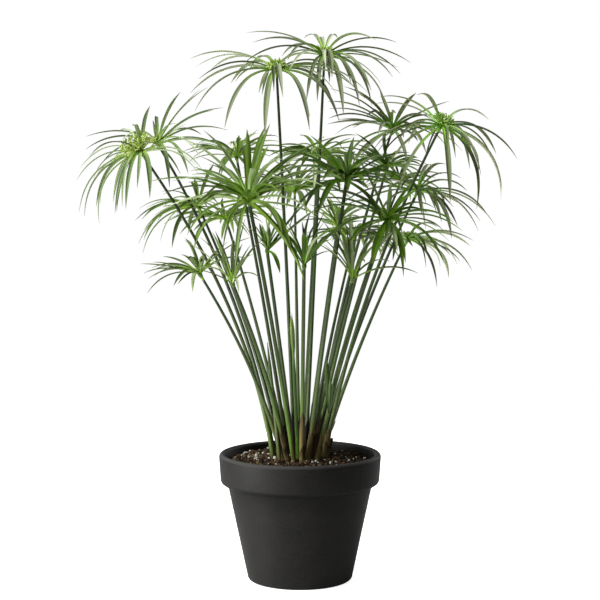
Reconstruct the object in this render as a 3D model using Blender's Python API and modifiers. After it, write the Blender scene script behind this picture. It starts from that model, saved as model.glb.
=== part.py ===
"""A potted umbrella sedge: bare culms out of a banded clay pot, each topped by a whorl of leafy bracts.

Metres, +Z up, front at -Y. The origin is the middle of the pot's underside.
"""

import math
from collections import namedtuple

import bmesh
import bpy
import numpy as np
from mathutils import Matrix, Vector, noise

MM = 0.001
GAP = 0.3 * MM

# Pot
POT_HEIGHT = 122 * MM
RIM_RADIUS = 77.5 * MM
BAND_HEIGHT = 28 * MM
BAND_FOOT_RADIUS = 76 * MM
BODY_TOP_RADIUS = 69 * MM
FOOT_RADIUS = 50.5 * MM
LIP = 6.5 * MM
FLOOR = 8 * MM
FLOOR_RADIUS = 46.5 * MM
EDGE = 4 * MM
POT_SIDES = 38

# Soil
SOIL_BELOW_RIM = 8 * MM
MOUND = 3 * MM
CLUMP_RADIUS = 28 * MM
CRUMB = 1.5 * MM
CRUMB_SPACING = 8 * MM
SOIL_SIDES = 32
SOIL_RINGS = 4

# Culms
FOOT_PITCH = 7.5 * MM
CULM_FOOT = 2.2 * MM
CULM_TOP = 1.15 * MM
CULM_RUNS = 4

# Whorls. A bract's fold is the height of its edges over its keel, as a share of its width. Its
# sections are places along it, each with its share of the width there.
HUB_RADIUS = 3.4 * MM
HUB_HEIGHT = 3 * MM
BUD = 2
BRACT_THICKNESS = 0.55 * MM
BRACT_FOLD = 0.22
BRACT_SECTIONS = ((0.27, 0.92), (0.64, 1.0))
ARCH_WHEN_LEVEL = 0.135
ARCH_LOST_PER_DEGREE = 0.0013
SHORTEST_BRACT = 0.82
RISE_SPREAD = math.radians(26)
WHORL_TILT = 0.6
HIGH_HEAD = 402

# The room that a bract keeps, from its middle line, and the turns that may give it that room.
CLEAR_OF_BRACT = 4.5 * MM
CLEAR_OF_CULM = 4.4 * MM
CLEAR_OF_SISTER = 2.6 * MM
CLEAR_OF_HUB = 7.5 * MM
NEAR_HUB = 16 * MM
NARROWEST_TURN = math.radians(7)
TRIAL_TURN = math.radians(1.5)
TRIAL_TURNS = 16

# Places are written as seen from here, on the upright plane through the pot's middle.
VIEWPOINT = Vector((0, -1.60, 0.40))

# across, up and back place the hub, in millimetres. bow is how far the culm leans at half its
# height, as a share of its whole lean. reach is a bract's length from hub to tip, rise the
# angle of the bracts that are not listed, width their breadth, flower the height of the
# flower head. Each listed bract has the place of its tip from the hub, across and up in
# millimetres as seen, and its turn: -1 points at the viewer, 0 sideways, 1 away.
Head = namedtuple("Head", "across up back bow reach rise count width flower bracts")

HEADS = (
    Head(-22, 485, -25, 0.45, 96, -22, 18, 4.2, 8, (
        (-81, 11, 0.6), (-75, 4, 1.0), (-62, 0, 1.0), (-81, -21, -0.1), (-77, -38, -0.8),
        (-43, -12, 1.0), (-49, -54, -1.0), (-11, -62, -1.0), (-17, -23, 1.0), (-22, 1, 1.0),
        (31, -56, -1.0), (59, -48, -0.7), (6, -25, -1.0), (69, -11, 0.5), (83, -26, 0.2),
    )),
    Head(23, 498, 15, 0.50, 90, -14, 20, 4.0, 8, (
        (-73, 22, 0.2), (-67, 13, 0.7), (-40, 0, 1.0), (-17, 17, 1.0), (-3, 13, 1.0),
        (12, 17, 1.0), (66, 13, 0.6), (81, -6, 0.1), (73, -16, 0.9), (18, -55, -1.0),
        (33, -46, -1.0), (43, -32, -1.0), (60, -56, -0.5), (-17, -42, -0.8), (7, -20, -1.0),
        (25, -25, 1.0), (-37, -4, -1.0), (-36, -12, -0.7),
    )),
    Head(-150, 408, -20, 0.34, 86, -30, 17, 4.2, 9, (
        (-61, -26, 0.5), (-55, -14, 0.9), (-59, -56, 0.2), (-54, -60, -0.4), (-40, -67, -0.6),
        (-25, -57, -1.0), (-12, -53, -1.0), (-25, -47, 1.0), (8, -43, -1.0), (-45, -51, 1.0),
        (-48, -3, -1.0), (-23, 19, 1.0), (-11, 25, -1.0), (9, 44, 0.6),
    )),
    Head(-134, 416, 50, 0.35, 80, 4, 14, 4.2, 0, (
        (21, 49, -0.5), (47, 53, 0.3), (61, 34, 0.6), (41, 9, 1.0), (66, 13, -0.4),
        (0, 25, 1.0), (9, -41, -1.0), (29, -28, -1.0), (41, -12, -1.0), (68, -8, 0.2),
    )),
    Head(87, 429, 80, 0.40, 78, -4, 16, 4.4, 0, (
        (-61, 27, 0.4), (-59, 39, -0.2), (-46, 41, -1.0), (20, 35, -1.0), (1, 17, 1.0),
        (53, 27, 0.4), (37, 10, -1.0), (50, -14, 0.9), (32, -22, 1.0), (17, -31, -1.0),
        (-54, -4, -0.6), (-60, 11, 0.8), (-38, -33, -0.9), (-30, -25, 1.0),
    )),
    Head(133, 433, -25, 0.38, 92, -28, 18, 4.4, 9, (
        (72, -31, 0.1), (52, -26, 0.9), (42, 6, 1.0), (58, -60, 0.4), (57, -69, -0.3),
        (34, -35, 1.0), (34, -78, -0.8), (9, -72, -1.0), (16, -30, 1.0), (-38, -60, -0.8),
        (-50, -34, -1.0), (-63, 21, 0.5), (-58, 27, 1.0), (-23, 29, -1.0),
    )),
    Head(111, 371, 65, 0.42, 84, -18, 12, 3.6, 0, (
        (13, 25, 1.0), (27, 26, -1.0), (41, 13, 1.0), (44, 1, -1.0), (66, -21, 0.5),
        (74, -32, -0.1), (58, -37, -0.9), (4, -22, -1.0), (35, -44, -1.0),
    )),
    Head(83, 344, -70, 0.44, 76, -6, 16, 5.0, 0, (
        (62, 1, 0.3), (71, -10, -0.5), (44, 12, 1.0), (-36, -21, -0.9), (-15, -42, -1.0),
        (17, -53, -1.0), (26, 29, -1.0),
    )),
    Head(102, 326, 10, 0.44, 70, -18, 13, 3.8, 0, (
        (59, -6, 0.7), (62, -1, 0.1), (61, -29, -0.3), (28, -45, -0.8), (47, -23, 1.0),
        (19, -15, -1.0), (28, 12, 1.0),
    )),
    Head(-96, 357, 60, 0.40, 72, -8, 12, 4.0, 0, (
        (-60, -13, 0.5), (-57, -35, 0.1), (-53, -44, -0.5), (-33, -1, 1.0), (-4, 26, 0.7),
        (-21, -39, -1.0), (-8, 23, -1.0),
    )),
    Head(-95, 293, -60, 0.40, 60, 14, 13, 4.2, 0, (
        (-56, 10, 0.2), (-35, 17, 0.9), (-18, 19, 1.0), (-46, 6, -0.7), (-49, -4, -0.2),
        (-50, -18, 0.6), (-25, -11, -1.0), (3, 18, -1.0), (-14, 34, -1.0), (14, -5, -1.0),
        (-7, -17, 1.0),
    )),
    Head(-64, 284, -105, 0.42, 56, 52, 9, 4.8, 0, (
        (-19, 49, -0.3), (17, 37, 0.6), (19, 28, -1.0), (26, 6, 0.9), (6, -9, -1.0),
    )),
    Head(-48, 361, -110, 0.46, 94, 18, 17, 5.4, 6, (
        (-2, 69, -0.6), (20, 74, 0.6), (18, 53, -1.0), (-43, 68, 0.3), (-56, 30, 0.9),
        (-56, 19, -0.4), (-61, -31, -0.5), (-14, -64, -0.9), (63, -14, -0.7), (66, -12, 0.5),
        (81, 8, 1.0), (52, -74, -0.6), (40, -48, -1.0),
    )),
    Head(-60, 404, 75, 0.46, 60, 2, 12, 3.2, 7, (
        (4, 17, 1.0), (-35, 14, 0.8), (28, 12, 0.9), (20, 22, -1.0),
    )),
    Head(17, 404, 110, 0.48, 62, -4, 12, 4.4, 7, (
        (-34, -14, -0.8), (-30, -22, 0.8), (-17, 20, 1.0), (21, -34, -0.9), (6, 18, 1.0),
    )),
    Head(4, 301, -105, 0.50, 47, 58, 10, 5.0, 0, (
        (-18, 29, 0.5), (-19, 33, -0.7), (-4, 32, -1.0), (1, 35, 1.0), (25, 25, -0.7),
        (29, 34, 0.3),
    )),
    Head(-31, 315, 50, 0.48, 36, 55, 7, 3.6, 0, ()),
    Head(44, 381, -75, 0.48, 68, 8, 15, 5.6, 0, (
        (35, -38, -0.5), (-26, -31, -1.0), (-22, 25, 0.5), (-24, 1, -1.0), (46, -3, 0.6),
        (8, 28, 1.0), (36, 26, 0.4),
    )),
    Head(50, 288, -65, 0.46, 66, 48, 11, 4.8, 0, (
        (-18, 36, 0.5), (-11, 43, -0.4), (2, 26, -1.0), (23, 44, 0.6), (27, 38, -0.4),
        (31, 17, 1.0), (62, 6, -0.2),
    )),
    Head(82, 394, 20, 0.46, 48, 10, 8, 3.6, 0, ()),
    Head(95, 380, 130, 0.42, 54, 4, 9, 3.6, 0, ()),
    Head(36, 338, 60, 0.48, 38, 30, 7, 3.8, 0, ()),
    Head(-70, 345, 130, 0.44, 66, -4, 11, 3.8, 0, ()),
    Head(-5, 372, 150, 0.44, 66, 0, 11, 3.8, 0, ()),
    Head(52, 330, 140, 0.44, 62, -4, 10, 3.8, 0, ()),
)

# The young growth at the front of the clump: foot and tip as seen, how far back each is, and
# its radii from the foot to the tip, evenly spaced.
Shoot = namedtuple("Shoot", "name foot foot_back tip back radii")

SHOOTS = (
    Shoot("young_shoot", (-1, 118), -16, (-8, 256), -46, (2.2, 1.9, 1.8, 2.3, 3.1, 0.35)),
    Shoot("young_spear", (-17, 118), -18, (-31, 228), -26, (2.0, 1.8, 1.6, 1.9, 1.6, 0.3)),
    Shoot("old_stub", (26, 118), 12, (31, 136), 14, (2.1, 2.1, 2.0, 1.9, 1.7, 1.1)),
)

FRESH_GREEN = (0.13, 0.25, 0.05, 1)
DULL_GREEN = (0.10, 0.15, 0.07, 1)
STEM_GREEN = (0.04, 0.08, 0.03, 1)
CHARCOAL = (0.03, 0.03, 0.03, 1)
EARTH = (0.05, 0.035, 0.02, 1)

SOIL_TOP = POT_HEIGHT - SOIL_BELOW_RIM
MOUND_TOP = SOIL_TOP + MOUND
WALL_SLOPE = (RIM_RADIUS - LIP - FLOOR_RADIUS) / (POT_HEIGHT - LIP / 2 - FLOOR)


def as_seen(across, up, back):
    """The point at depth back that is seen at across and up on the plane through the middle."""
    on_plane = Vector((across, 0, up))
    return VIEWPOINT + (on_plane - VIEWPOINT) * (1 - back / VIEWPOINT.y)


def scatter(number, step=(math.sqrt(5) - 1) / 2):
    """An even scatter from 0 to 1 that goes on with each whole number."""
    return (number * step) % 1


def parabola(start, middle, end, t):
    return start * (1 - t) ** 2 + middle * (2 * t * (1 - t)) + end * t ** 2


def spread_feet(feet):
    """The feet of the culms, pushed apart until each has its room in the clump."""
    feet = [foot.copy() for foot in feet]
    for _ in range(80):
        for i, one in enumerate(feet):
            for other in feet[i + 1:]:
                apart = one - other
                lack = FOOT_PITCH - apart.length
                if lack > 0:
                    push = apart.normalized() * (lack / 2)
                    one += push
                    other -= push
        for foot in feet:
            if foot.length > CLUMP_RADIUS:
                foot *= CLUMP_RADIUS / foot.length
    return feet


def culm_route(foot, hub, bow):
    """The three guides of a culm's bend: it leaves the clump upright and leans out as it rises."""
    shoulder = foot.lerp(hub, 2 * bow - 0.5)
    shoulder.z = (foot.z + hub.z) / 2
    return foot, shoulder, hub


def bract_route(hub, tip):
    """The three guides of a bract's arch: it lies in an upright plane and bends down by its weight."""
    chord = tip - hub
    rise = math.atan2(chord.z, chord.xy.length)
    arch = (ARCH_WHEN_LEVEL - ARCH_LOST_PER_DEGREE * math.degrees(rise)) * chord.length
    outward = Vector((chord.x, chord.y, 0)).normalized()
    lift = Vector((0, 0, 1)) * math.cos(rise) - outward * math.sin(rise)
    return hub, hub + chord / 2 + lift * (2 * arch), tip


def turned(hub, tip, angle):
    return hub + Matrix.Rotation(angle, 3, "Z") @ (tip - hub)


def heading(hub, tip):
    return math.atan2(tip.y - hub.y, tip.x - hub.x)


def listed_tips(head):
    """The tips that the head lists, each set forward or back until its bract has its length."""
    tips = []
    for across, up, turn in head.bracts:
        most = math.sqrt(max(head.reach ** 2 - across ** 2 - up ** 2, (head.reach / 7) ** 2))
        back = head.back + turn * most
        tips.append(as_seen((head.across + across) * MM, (head.up + up) * MM, back * MM))
    return tips


def added_tip(head, culm, angle, number):
    """A tip at a free angle. The whorl tilts with its culm, so bracts on the culm's side are higher."""
    _, shoulder, hub = culm
    lean = hub - shoulder
    tilt = math.atan2(lean.xy.length, lean.z) * WHORL_TILT
    tilt *= math.cos(angle - math.atan2(lean.y, lean.x))
    length = head.reach * MM * (SHORTEST_BRACT + (1 - SHORTEST_BRACT) * scatter(number))
    rise = math.radians(head.rise) + RISE_SPREAD * (scatter(number, math.sqrt(3)) - 0.5) - tilt
    flat = length * math.cos(rise)
    return hub + Vector((flat * math.cos(angle), flat * math.sin(angle), length * math.sin(rise)))


def ease_apart(tips, hub):
    """The tips, in order round the hub, turned until no two bracts leave it side by side."""
    for _ in range(30):
        tips = sorted(tips, key=lambda tip: heading(hub, tip))
        for i in range(len(tips)):
            gap = (heading(hub, tips[i]) - heading(hub, tips[i - 1])) % math.tau
            lack = NARROWEST_TURN - gap
            if lack > 0:
                tips[i - 1] = turned(hub, tips[i - 1], -lack / 2)
                tips[i] = turned(hub, tips[i], lack / 2)
    return tips


def whorl_tips(head, culm):
    """All the tips of a whorl: those listed, and then one more in the widest gap until it is full."""
    hub = culm[2]
    tips = ease_apart(listed_tips(head) or [added_tip(head, culm, head.across, 0)], hub)
    while len(tips) < head.count:
        tips.sort(key=lambda tip: heading(hub, tip))
        angles = [heading(hub, tip) for tip in tips]
        gaps = [(angle - angles[i - 1]) % math.tau or math.tau for i, angle in enumerate(angles)]
        widest = gaps.index(max(gaps))
        middle = angles[widest] - gaps[widest] / 2
        tips.append(added_tip(head, culm, middle, len(tips) + head.up))
    return sorted(tips, key=lambda tip: heading(hub, tip))


def stem_line(route):
    """Points close together along a culm's straight runs."""
    corners = [parabola(*route, i / CULM_RUNS) for i in range(CULM_RUNS + 1)]
    return np.concatenate([np.linspace(*run, 30) for run in zip(corners, corners[1:])])


def bract_line(route):
    """Points close together along the straight runs between a bract's sections."""
    hub, _, tip = route
    corners = [hub, *(parabola(*route, t) for t, _ in BRACT_SECTIONS), tip]
    return np.concatenate([np.linspace(*run, 15) for run in zip(corners, corners[1:])])


def beyond(points, hub, distance):
    return points[np.linalg.norm(points - np.array(hub), axis=1) > distance]


def spare_room(points, hub, others):
    """How much more room a bract has than it needs. others pairs lines of points with the room to keep."""
    spare = 1
    for lines, keep in others:
        own = beyond(points, hub, NEAR_HUB) if keep == CLEAR_OF_SISTER else points
        if len(lines):
            apart = np.linalg.norm(own[:, None] - lines[None], axis=2).min()
            spare = min(spare, apart - keep)
    return spare


def settle(hub, tip, others):
    """The tip turned about its hub, by as little as gives its bract room among the others."""
    turns = sorted(range(-TRIAL_TURNS, TRIAL_TURNS + 1), key=abs)
    best_spare, best = -1, tip
    for turn in turns:
        moved = turned(hub, tip, turn * TRIAL_TURN)
        spare = spare_room(bract_line(bract_route(hub, moved)), hub, others)
        if spare > best_spare:
            best_spare, best = spare, moved
        if spare >= 0:
            break
    return best


def lay_out_culms(hubs):
    """The routes of the culms and of the young growth, whose feet share the clump."""
    widest = max(hub.xy.length for hub in hubs)
    feet = [hub.xy.normalized() * (CLUMP_RADIUS * (hub.xy.length / widest) ** 0.8) for hub in hubs]
    for shoot in SHOOTS:
        across, up = shoot.foot
        feet.append(as_seen(across * MM, up * MM, shoot.foot_back * MM).xy)
    feet = spread_feet(feet)
    culms = []
    for head, hub, foot in zip(HEADS, hubs, feet):
        route = culm_route(Vector((foot.x, foot.y, MOUND_TOP + GAP)), hub, head.bow)
        lean = (route[1] - route[0]).normalized()
        route[0].z += CULM_FOOT * lean.xy.length
        culms.append(route)
    shoots = []
    for shoot, foot in zip(SHOOTS, feet[len(HEADS):]):
        across, up = shoot.tip
        tip = as_seen(across * MM, up * MM, shoot.back * MM)
        foot = Vector((foot.x, foot.y, MOUND_TOP + 3 * GAP))
        shoots.append((foot, (foot + tip) / 2, tip))
    return culms, shoots


def lay_out_whorls(hubs, culms, shoots):
    """The routes of the bracts of each whorl, with no two in each other's way."""
    stems = [stem_line(route) for route in culms + shoots]
    whorls = []
    earlier = np.empty((0, 3))
    for i, (head, hub) in enumerate(zip(HEADS, hubs)):
        other_stems = np.concatenate(stems[:i] + stems[i + 1:] + [beyond(stems[i], hub, 2 * NEAR_HUB)])
        other_hubs = np.array(hubs[:i] + hubs[i + 1:])
        tips = []
        sisters = np.empty((0, 3))
        for tip in whorl_tips(head, culms[i]):
            others = (
                (other_stems, CLEAR_OF_CULM),
                (other_hubs, CLEAR_OF_HUB),
                (earlier, CLEAR_OF_BRACT),
                (sisters, CLEAR_OF_SISTER),
            )
            tips.append(settle(hub, tip, others))
            line = bract_line(bract_route(hub, tips[-1]))
            sisters = np.concatenate([sisters, beyond(line, hub, NEAR_HUB)])
        tips.sort(key=lambda tip: heading(hub, tip))
        whorls.append([bract_route(hub, tip) for tip in tips])
        earlier = np.concatenate([earlier] + [bract_line(route) for route in whorls[-1]])
    return whorls


def material(name, colour, roughness):
    made = bpy.data.materials.new(name)
    made.use_nodes = True
    shader = made.node_tree.nodes["Principled BSDF"]
    shader.inputs["Base Color"].default_value = colour
    shader.inputs["Roughness"].default_value = roughness
    shader.inputs["Metallic"].default_value = 0
    return made


def add(name, data, collection, made):
    piece = bpy.data.objects.new(name, data)
    collection.objects.link(piece)
    data.materials.append(made)
    return piece


def turned_piece(name, profile, sides, collection, made):
    """A profile of (radius, height) points, from the inside to the underside, turned about Z."""
    mesh = bpy.data.meshes.new(name)
    points = [(radius, 0, height) for radius, height in profile]
    mesh.from_pydata(points, [(i, i + 1) for i in range(len(points) - 1)], [])
    piece = add(name, mesh, collection, made)
    screw = piece.modifiers.new("turn", "SCREW")
    screw.steps = screw.render_steps = sides
    screw.use_merge_vertices = True
    screw.merge_threshold = 0.00005
    screw.use_normal_calculate = False
    return piece


def quarter(radius, height, size, start, steps=3):
    """Points of a rounded edge, as a quarter circle about (radius, height) from the angle start."""
    return [
        (radius + size * math.cos(start - i * math.pi / 2 / steps),
         height + size * math.sin(start - i * math.pi / 2 / steps))
        for i in range(steps + 1)
    ]


def build_pot(collection):
    """A turned clay pot: a tapered body, and at its rim a broad band with a rounded lip."""
    lip = LIP / 2
    band_foot = POT_HEIGHT - BAND_HEIGHT
    profile = [(0, FLOOR), (FLOOR_RADIUS, FLOOR)]
    profile += quarter(RIM_RADIUS - lip, POT_HEIGHT - lip, lip, math.pi, 2)
    profile += quarter(RIM_RADIUS - lip, POT_HEIGHT - lip, lip, math.pi / 2, 2)[1:]
    profile += quarter(BAND_FOOT_RADIUS - EDGE, band_foot + EDGE - MM, EDGE, 0, 2)
    profile += [(BODY_TOP_RADIUS, band_foot - 2.5 * MM), (FOOT_RADIUS, EDGE)]
    profile += quarter(FOOT_RADIUS - EDGE, EDGE, EDGE, 0, 2)[1:]
    profile += [(0, 0)]
    turned_piece("pot", profile, POT_SIDES, collection, material("clay", CHARCOAL, 0.8))


def build_soil(collection):
    """The potting mix, level with the clump's feet in the middle and crumbly towards the wall."""
    base = FLOOR + GAP
    inside = FLOOR_RADIUS * math.cos(math.pi / POT_SIDES) - GAP
    edge = inside + WALL_SLOPE * (SOIL_TOP - FLOOR)
    level = CLUMP_RADIUS + 5 * MM
    profile = [(0, MOUND_TOP)]
    for i in range(SOIL_RINGS + 1):
        share = i / SOIL_RINGS
        profile.append((level + (edge - level) * share, MOUND_TOP - MOUND * share ** 1.5))
    profile += [(inside, base), (0, base)]
    soil = turned_piece("soil", profile, SOIL_SIDES, collection, material("potting_mix", EARTH, 1))
    mesh = bpy.data.meshes.new_from_object(
        soil.evaluated_get(bpy.context.evaluated_depsgraph_get()))
    soil.modifiers.clear()
    soil.data = mesh
    for vertex in mesh.vertices:
        place = vertex.co
        if place.z > FLOOR + MM and level + MM < place.xy.length < edge - MM:
            place.z += CRUMB * noise.noise(place / CRUMB_SPACING)


def build_stem(name, route, radii, collection, made):
    """A bare round stem along its bend, with its radius at each point from the foot up."""
    curve = bpy.data.curves.new(name, "CURVE")
    curve.dimensions = "3D"
    curve.bevel_depth = 1
    curve.bevel_resolution = 1
    curve.use_fill_caps = True
    spline = curve.splines.new("POLY")
    runs = len(radii) - 1
    spline.points.add(runs)
    for i, point in enumerate(spline.points):
        point.co = (*parabola(*route, i / runs), 1)
        point.radius = radii[i]
    add(name, curve, collection, made)


def culm_radii():
    shares = [(i / CULM_RUNS) ** 0.8 for i in range(CULM_RUNS + 1)]
    return [CULM_FOOT + (CULM_TOP - CULM_FOOT) * share for share in shares]


def short_of_hub(route):
    """A culm's route, ended just under its whorl's hub."""
    foot, shoulder, hub = route
    lean = (hub - shoulder).normalized()
    return foot, shoulder, hub - lean * (HUB_HEIGHT / 2 + GAP)


def bract_section(route, t, width, side):
    """The corners of a folded bract at t: left edge, keel, right edge and groove."""
    centre = parabola(*route, t)
    along = (parabola(*route, t + 0.01) - parabola(*route, t - 0.01)).normalized()
    over = along.cross(side)
    edge = centre + over * (width * BRACT_FOLD)
    return (
        edge - side * (width / 2),
        centre - over * (BRACT_THICKNESS / 2),
        edge + side * (width / 2),
        centre + over * (BRACT_THICKNESS / 2),
    )


def grow_bract(mesh, face, order, route, width):
    """Draws a side of the hub out into one bract: two folded sections, then the point."""
    hub, _, tip = route
    side = Vector((hub.y - tip.y, tip.x - hub.x, 0)).normalized()
    for t, share in BRACT_SECTIONS:
        corners = bract_section(route, t, width * share, side)
        face = bmesh.ops.extrude_discrete_faces(mesh, faces=[face])["faces"][0]
        for vertex, corner in zip(face.verts, order):
            vertex.co = corners[corner]
    face = bmesh.ops.extrude_discrete_faces(mesh, faces=[face])["faces"][0]
    bmesh.ops.pointmerge(mesh, verts=face.verts[:], merge_co=tip)


def seams_between(headings):
    """Where the hub's sides meet, halfway between each bract and the next, evened out a little."""
    count = len(headings)
    middles = []
    for i, angle in enumerate(headings):
        middles.append(angle - ((angle - headings[i - 1]) % math.tau) / 2)
    middles = [middles[0] + (angle - middles[0]) % math.tau for angle in middles]
    steady = sum(angle - i * math.tau / count for i, angle in enumerate(middles)) / count
    return [(angle + steady + i * math.tau / count) / 2 for i, angle in enumerate(middles)]


# Which corner of a bract's section a corner of the hub's side becomes: at its first seam or not,
# and at its top or not.
CORNER = {(True, True): 0, (True, False): 1, (False, False): 2, (False, True): 3}


def build_whorl(name, culm, routes, head, collection, made):
    """A hub on the culm's end, each of whose sides is drawn out into a bract, and its flower."""
    _, shoulder, hub = culm
    axis = (hub - shoulder).normalized()
    lean = Vector((0, 0, 1)).rotation_difference(axis)
    count = len(routes)
    seams = seams_between([heading(hub, route[2]) for route in routes])
    mesh = bmesh.new()
    bmesh.ops.create_cone(
        mesh, cap_ends=True, segments=count,
        radius1=HUB_RADIUS, radius2=HUB_RADIUS, depth=HUB_HEIGHT)
    places = {}
    for vertex in mesh.verts:
        turn = (math.atan2(vertex.co.y, vertex.co.x) - math.pi / 2) * count / math.tau
        places[vertex] = (round(turn) % count, vertex.co.z > 0)
    sides = []
    for face in mesh.faces:
        meeting = {places[vertex][0] for vertex in face.verts}
        if len(meeting) > 2:
            continue
        first = count - 1 if meeting == {0, count - 1} else min(meeting)
        order = []
        for vertex in face.verts:
            seam, is_top = places[vertex]
            order.append(CORNER[seam == first, is_top])
        sides.append((face, order, routes[first]))
    top = max(mesh.faces, key=lambda face: face.calc_center_median().z)
    peak = bmesh.ops.poke(mesh, faces=[top])["verts"][0]
    peak.co = hub + axis * (HUB_HEIGHT / 2 + max(head.flower, BUD) * MM)
    for vertex, (seam, _) in places.items():
        flat = Vector((math.cos(seams[seam]), math.sin(seams[seam]), 0)) * HUB_RADIUS
        vertex.co = hub + lean @ (flat + Vector((0, 0, vertex.co.z)))
    for face, order, route in sides:
        grow_bract(mesh, face, order, route, head.width * MM)
    data = bpy.data.meshes.new(name)
    mesh.to_mesh(data)
    mesh.free()
    add(name, data, collection, made)


def main():
    for piece in list(bpy.data.objects):
        bpy.data.objects.remove(piece)
    collection = bpy.data.collections.new("potted_umbrella_sedge")
    bpy.context.scene.collection.children.link(collection)
    build_pot(collection)
    build_soil(collection)
    stem = material("culm", STEM_GREEN, 0.45)
    fresh = material("bract_fresh", FRESH_GREEN, 0.5)
    dull = material("bract_dull", DULL_GREEN, 0.55)
    hubs = [as_seen(head.across * MM, head.up * MM, head.back * MM) for head in HEADS]
    culms, shoots = lay_out_culms(hubs)
    whorls = lay_out_whorls(hubs, culms, shoots)
    for i, (head, culm, routes) in enumerate(zip(HEADS, culms, whorls), 1):
        build_stem(f"culm_{i:02}", short_of_hub(culm), culm_radii(), collection, stem)
        leaf = dull if head.up > HIGH_HEAD else fresh
        build_whorl(f"whorl_{i:02}", culm, routes, head, collection, leaf)
    for shoot, route in zip(SHOOTS, shoots):
        build_stem(shoot.name, route, [radius * MM for radius in shoot.radii], collection, fresh)


main()
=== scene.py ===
"""The looks of a potted umbrella sedge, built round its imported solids.

The sections follow the plant from the studio and the pot up to the flowers. Metres, +Z up,
front at -Y.
"""

import math
import random
from collections import namedtuple

import bmesh
import bpy
import numpy as np
from mathutils import Matrix, Vector, noise


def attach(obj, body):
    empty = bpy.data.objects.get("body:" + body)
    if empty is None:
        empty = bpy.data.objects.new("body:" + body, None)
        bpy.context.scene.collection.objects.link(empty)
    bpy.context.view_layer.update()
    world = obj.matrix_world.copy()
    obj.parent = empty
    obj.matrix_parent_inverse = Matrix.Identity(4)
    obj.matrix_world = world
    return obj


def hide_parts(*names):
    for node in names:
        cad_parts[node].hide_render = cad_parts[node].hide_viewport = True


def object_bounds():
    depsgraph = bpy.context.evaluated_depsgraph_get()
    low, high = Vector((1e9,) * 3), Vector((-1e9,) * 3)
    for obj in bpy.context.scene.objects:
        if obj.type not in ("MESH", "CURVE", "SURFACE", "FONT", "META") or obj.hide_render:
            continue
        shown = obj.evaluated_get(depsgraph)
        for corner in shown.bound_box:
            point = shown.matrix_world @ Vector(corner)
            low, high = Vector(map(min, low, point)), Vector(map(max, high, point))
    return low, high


MM = 0.001
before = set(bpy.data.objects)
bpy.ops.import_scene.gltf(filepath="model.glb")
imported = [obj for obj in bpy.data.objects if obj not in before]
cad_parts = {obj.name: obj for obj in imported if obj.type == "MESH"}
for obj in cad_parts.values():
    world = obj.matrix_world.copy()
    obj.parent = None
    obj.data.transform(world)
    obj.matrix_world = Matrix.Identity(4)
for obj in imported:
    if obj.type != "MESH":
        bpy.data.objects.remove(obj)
solid_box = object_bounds()


# Studio
#
# A pale sheet of backing paper under the pot, one large soft lamp high on the left, and the
# white room round them. The camera stands 1.6 m in front, a little above the middle of the plant.

VIEWPOINT = Vector((0, -1.60, 0.40))


def colour(code):
    """An sRGB hex colour as linear RGBA."""
    parts = [int(code[i:i + 2], 16) / 255 for i in (1, 3, 5)]
    return (*((part / 12.92 if part <= 0.04045 else ((part + 0.055) / 1.055) ** 2.4)
              for part in parts), 1)


def add_node(tree, kind, inputs=None, **settings):
    """Adds a node. inputs gives each socket its value, or the output that feeds it."""
    made = tree.nodes.new("ShaderNode" + kind)
    for setting, value in settings.items():
        if setting == "stops":
            for i, (place, shade) in enumerate(value):
                stop = made.color_ramp.elements[i] if i < 2 else made.color_ramp.elements.new(place)
                stop.position, stop.color = place, shade
        else:
            setattr(made, setting, value)
    for socket, value in (inputs or {}).items():
        if isinstance(value, bpy.types.NodeSocket):
            tree.links.new(value, made.inputs[socket])
        else:
            made.inputs[socket].default_value = value
    return made


def new_material(name, ior, roughness, gloss=0.5):
    """A material with its shader, and the object's own coordinates in millimetres."""
    made = bpy.data.materials.new(name)
    made.use_nodes = True
    tree = made.node_tree
    shader = tree.nodes["Principled BSDF"]
    shader.inputs["IOR"].default_value = ior
    shader.inputs["Roughness"].default_value = roughness
    shader.inputs["Metallic"].default_value = 0
    shader.inputs["Specular IOR Level"].default_value = gloss
    place = add_node(tree, "TexCoord").outputs["Object"]
    in_mm = add_node(tree, "VectorMath", {0: place, "Scale": 1000}, operation="SCALE").outputs[0]
    return made, tree, shader, in_mm


lens = bpy.data.cameras.new("camera")
lens.lens = 101.4
lens.sensor_width = 36
camera = bpy.data.objects.new("camera", lens)
camera.location = VIEWPOINT
camera.rotation_euler = (math.radians(90 - 4.7), 0, 0)
bpy.context.scene.collection.objects.link(camera)
bpy.context.scene.camera = camera
bpy.context.scene.view_settings.view_transform = "Standard"

room = bpy.data.worlds.new("white_room")
room.use_nodes = True
# The room is white to the eye. Its light is stronger from the left and from above.
toward = add_node(room.node_tree, "SeparateXYZ", {
    0: add_node(room.node_tree, "TexCoord").outputs["Generated"]})
from_left = add_node(
    room.node_tree, "MapRange",
    {"Value": toward.outputs["X"], "From Min": -1, "From Max": 0.4, "To Min": 1.3, "To Max": 0.06})
from_above = add_node(
    room.node_tree, "MapRange",
    {"Value": toward.outputs["Z"], "From Min": -1, "From Max": 1, "To Min": 0.05, "To Max": 1.05})
given = add_node(
    room.node_tree, "Math", {0: from_left.outputs[0], 1: from_above.outputs[0]}, operation="MULTIPLY")
seen = add_node(room.node_tree, "LightPath").outputs["Is Camera Ray"]
strength = add_node(
    room.node_tree, "Mix", {"Factor": seen, "A": given.outputs[0], "B": 1.0}, data_type="FLOAT")
room_light = room.node_tree.nodes["Background"]
room_light.inputs["Color"].default_value = (1, 1, 1, 1)
room.node_tree.links.new(strength.outputs[0], room_light.inputs["Strength"])
bpy.context.scene.world = room


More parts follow.
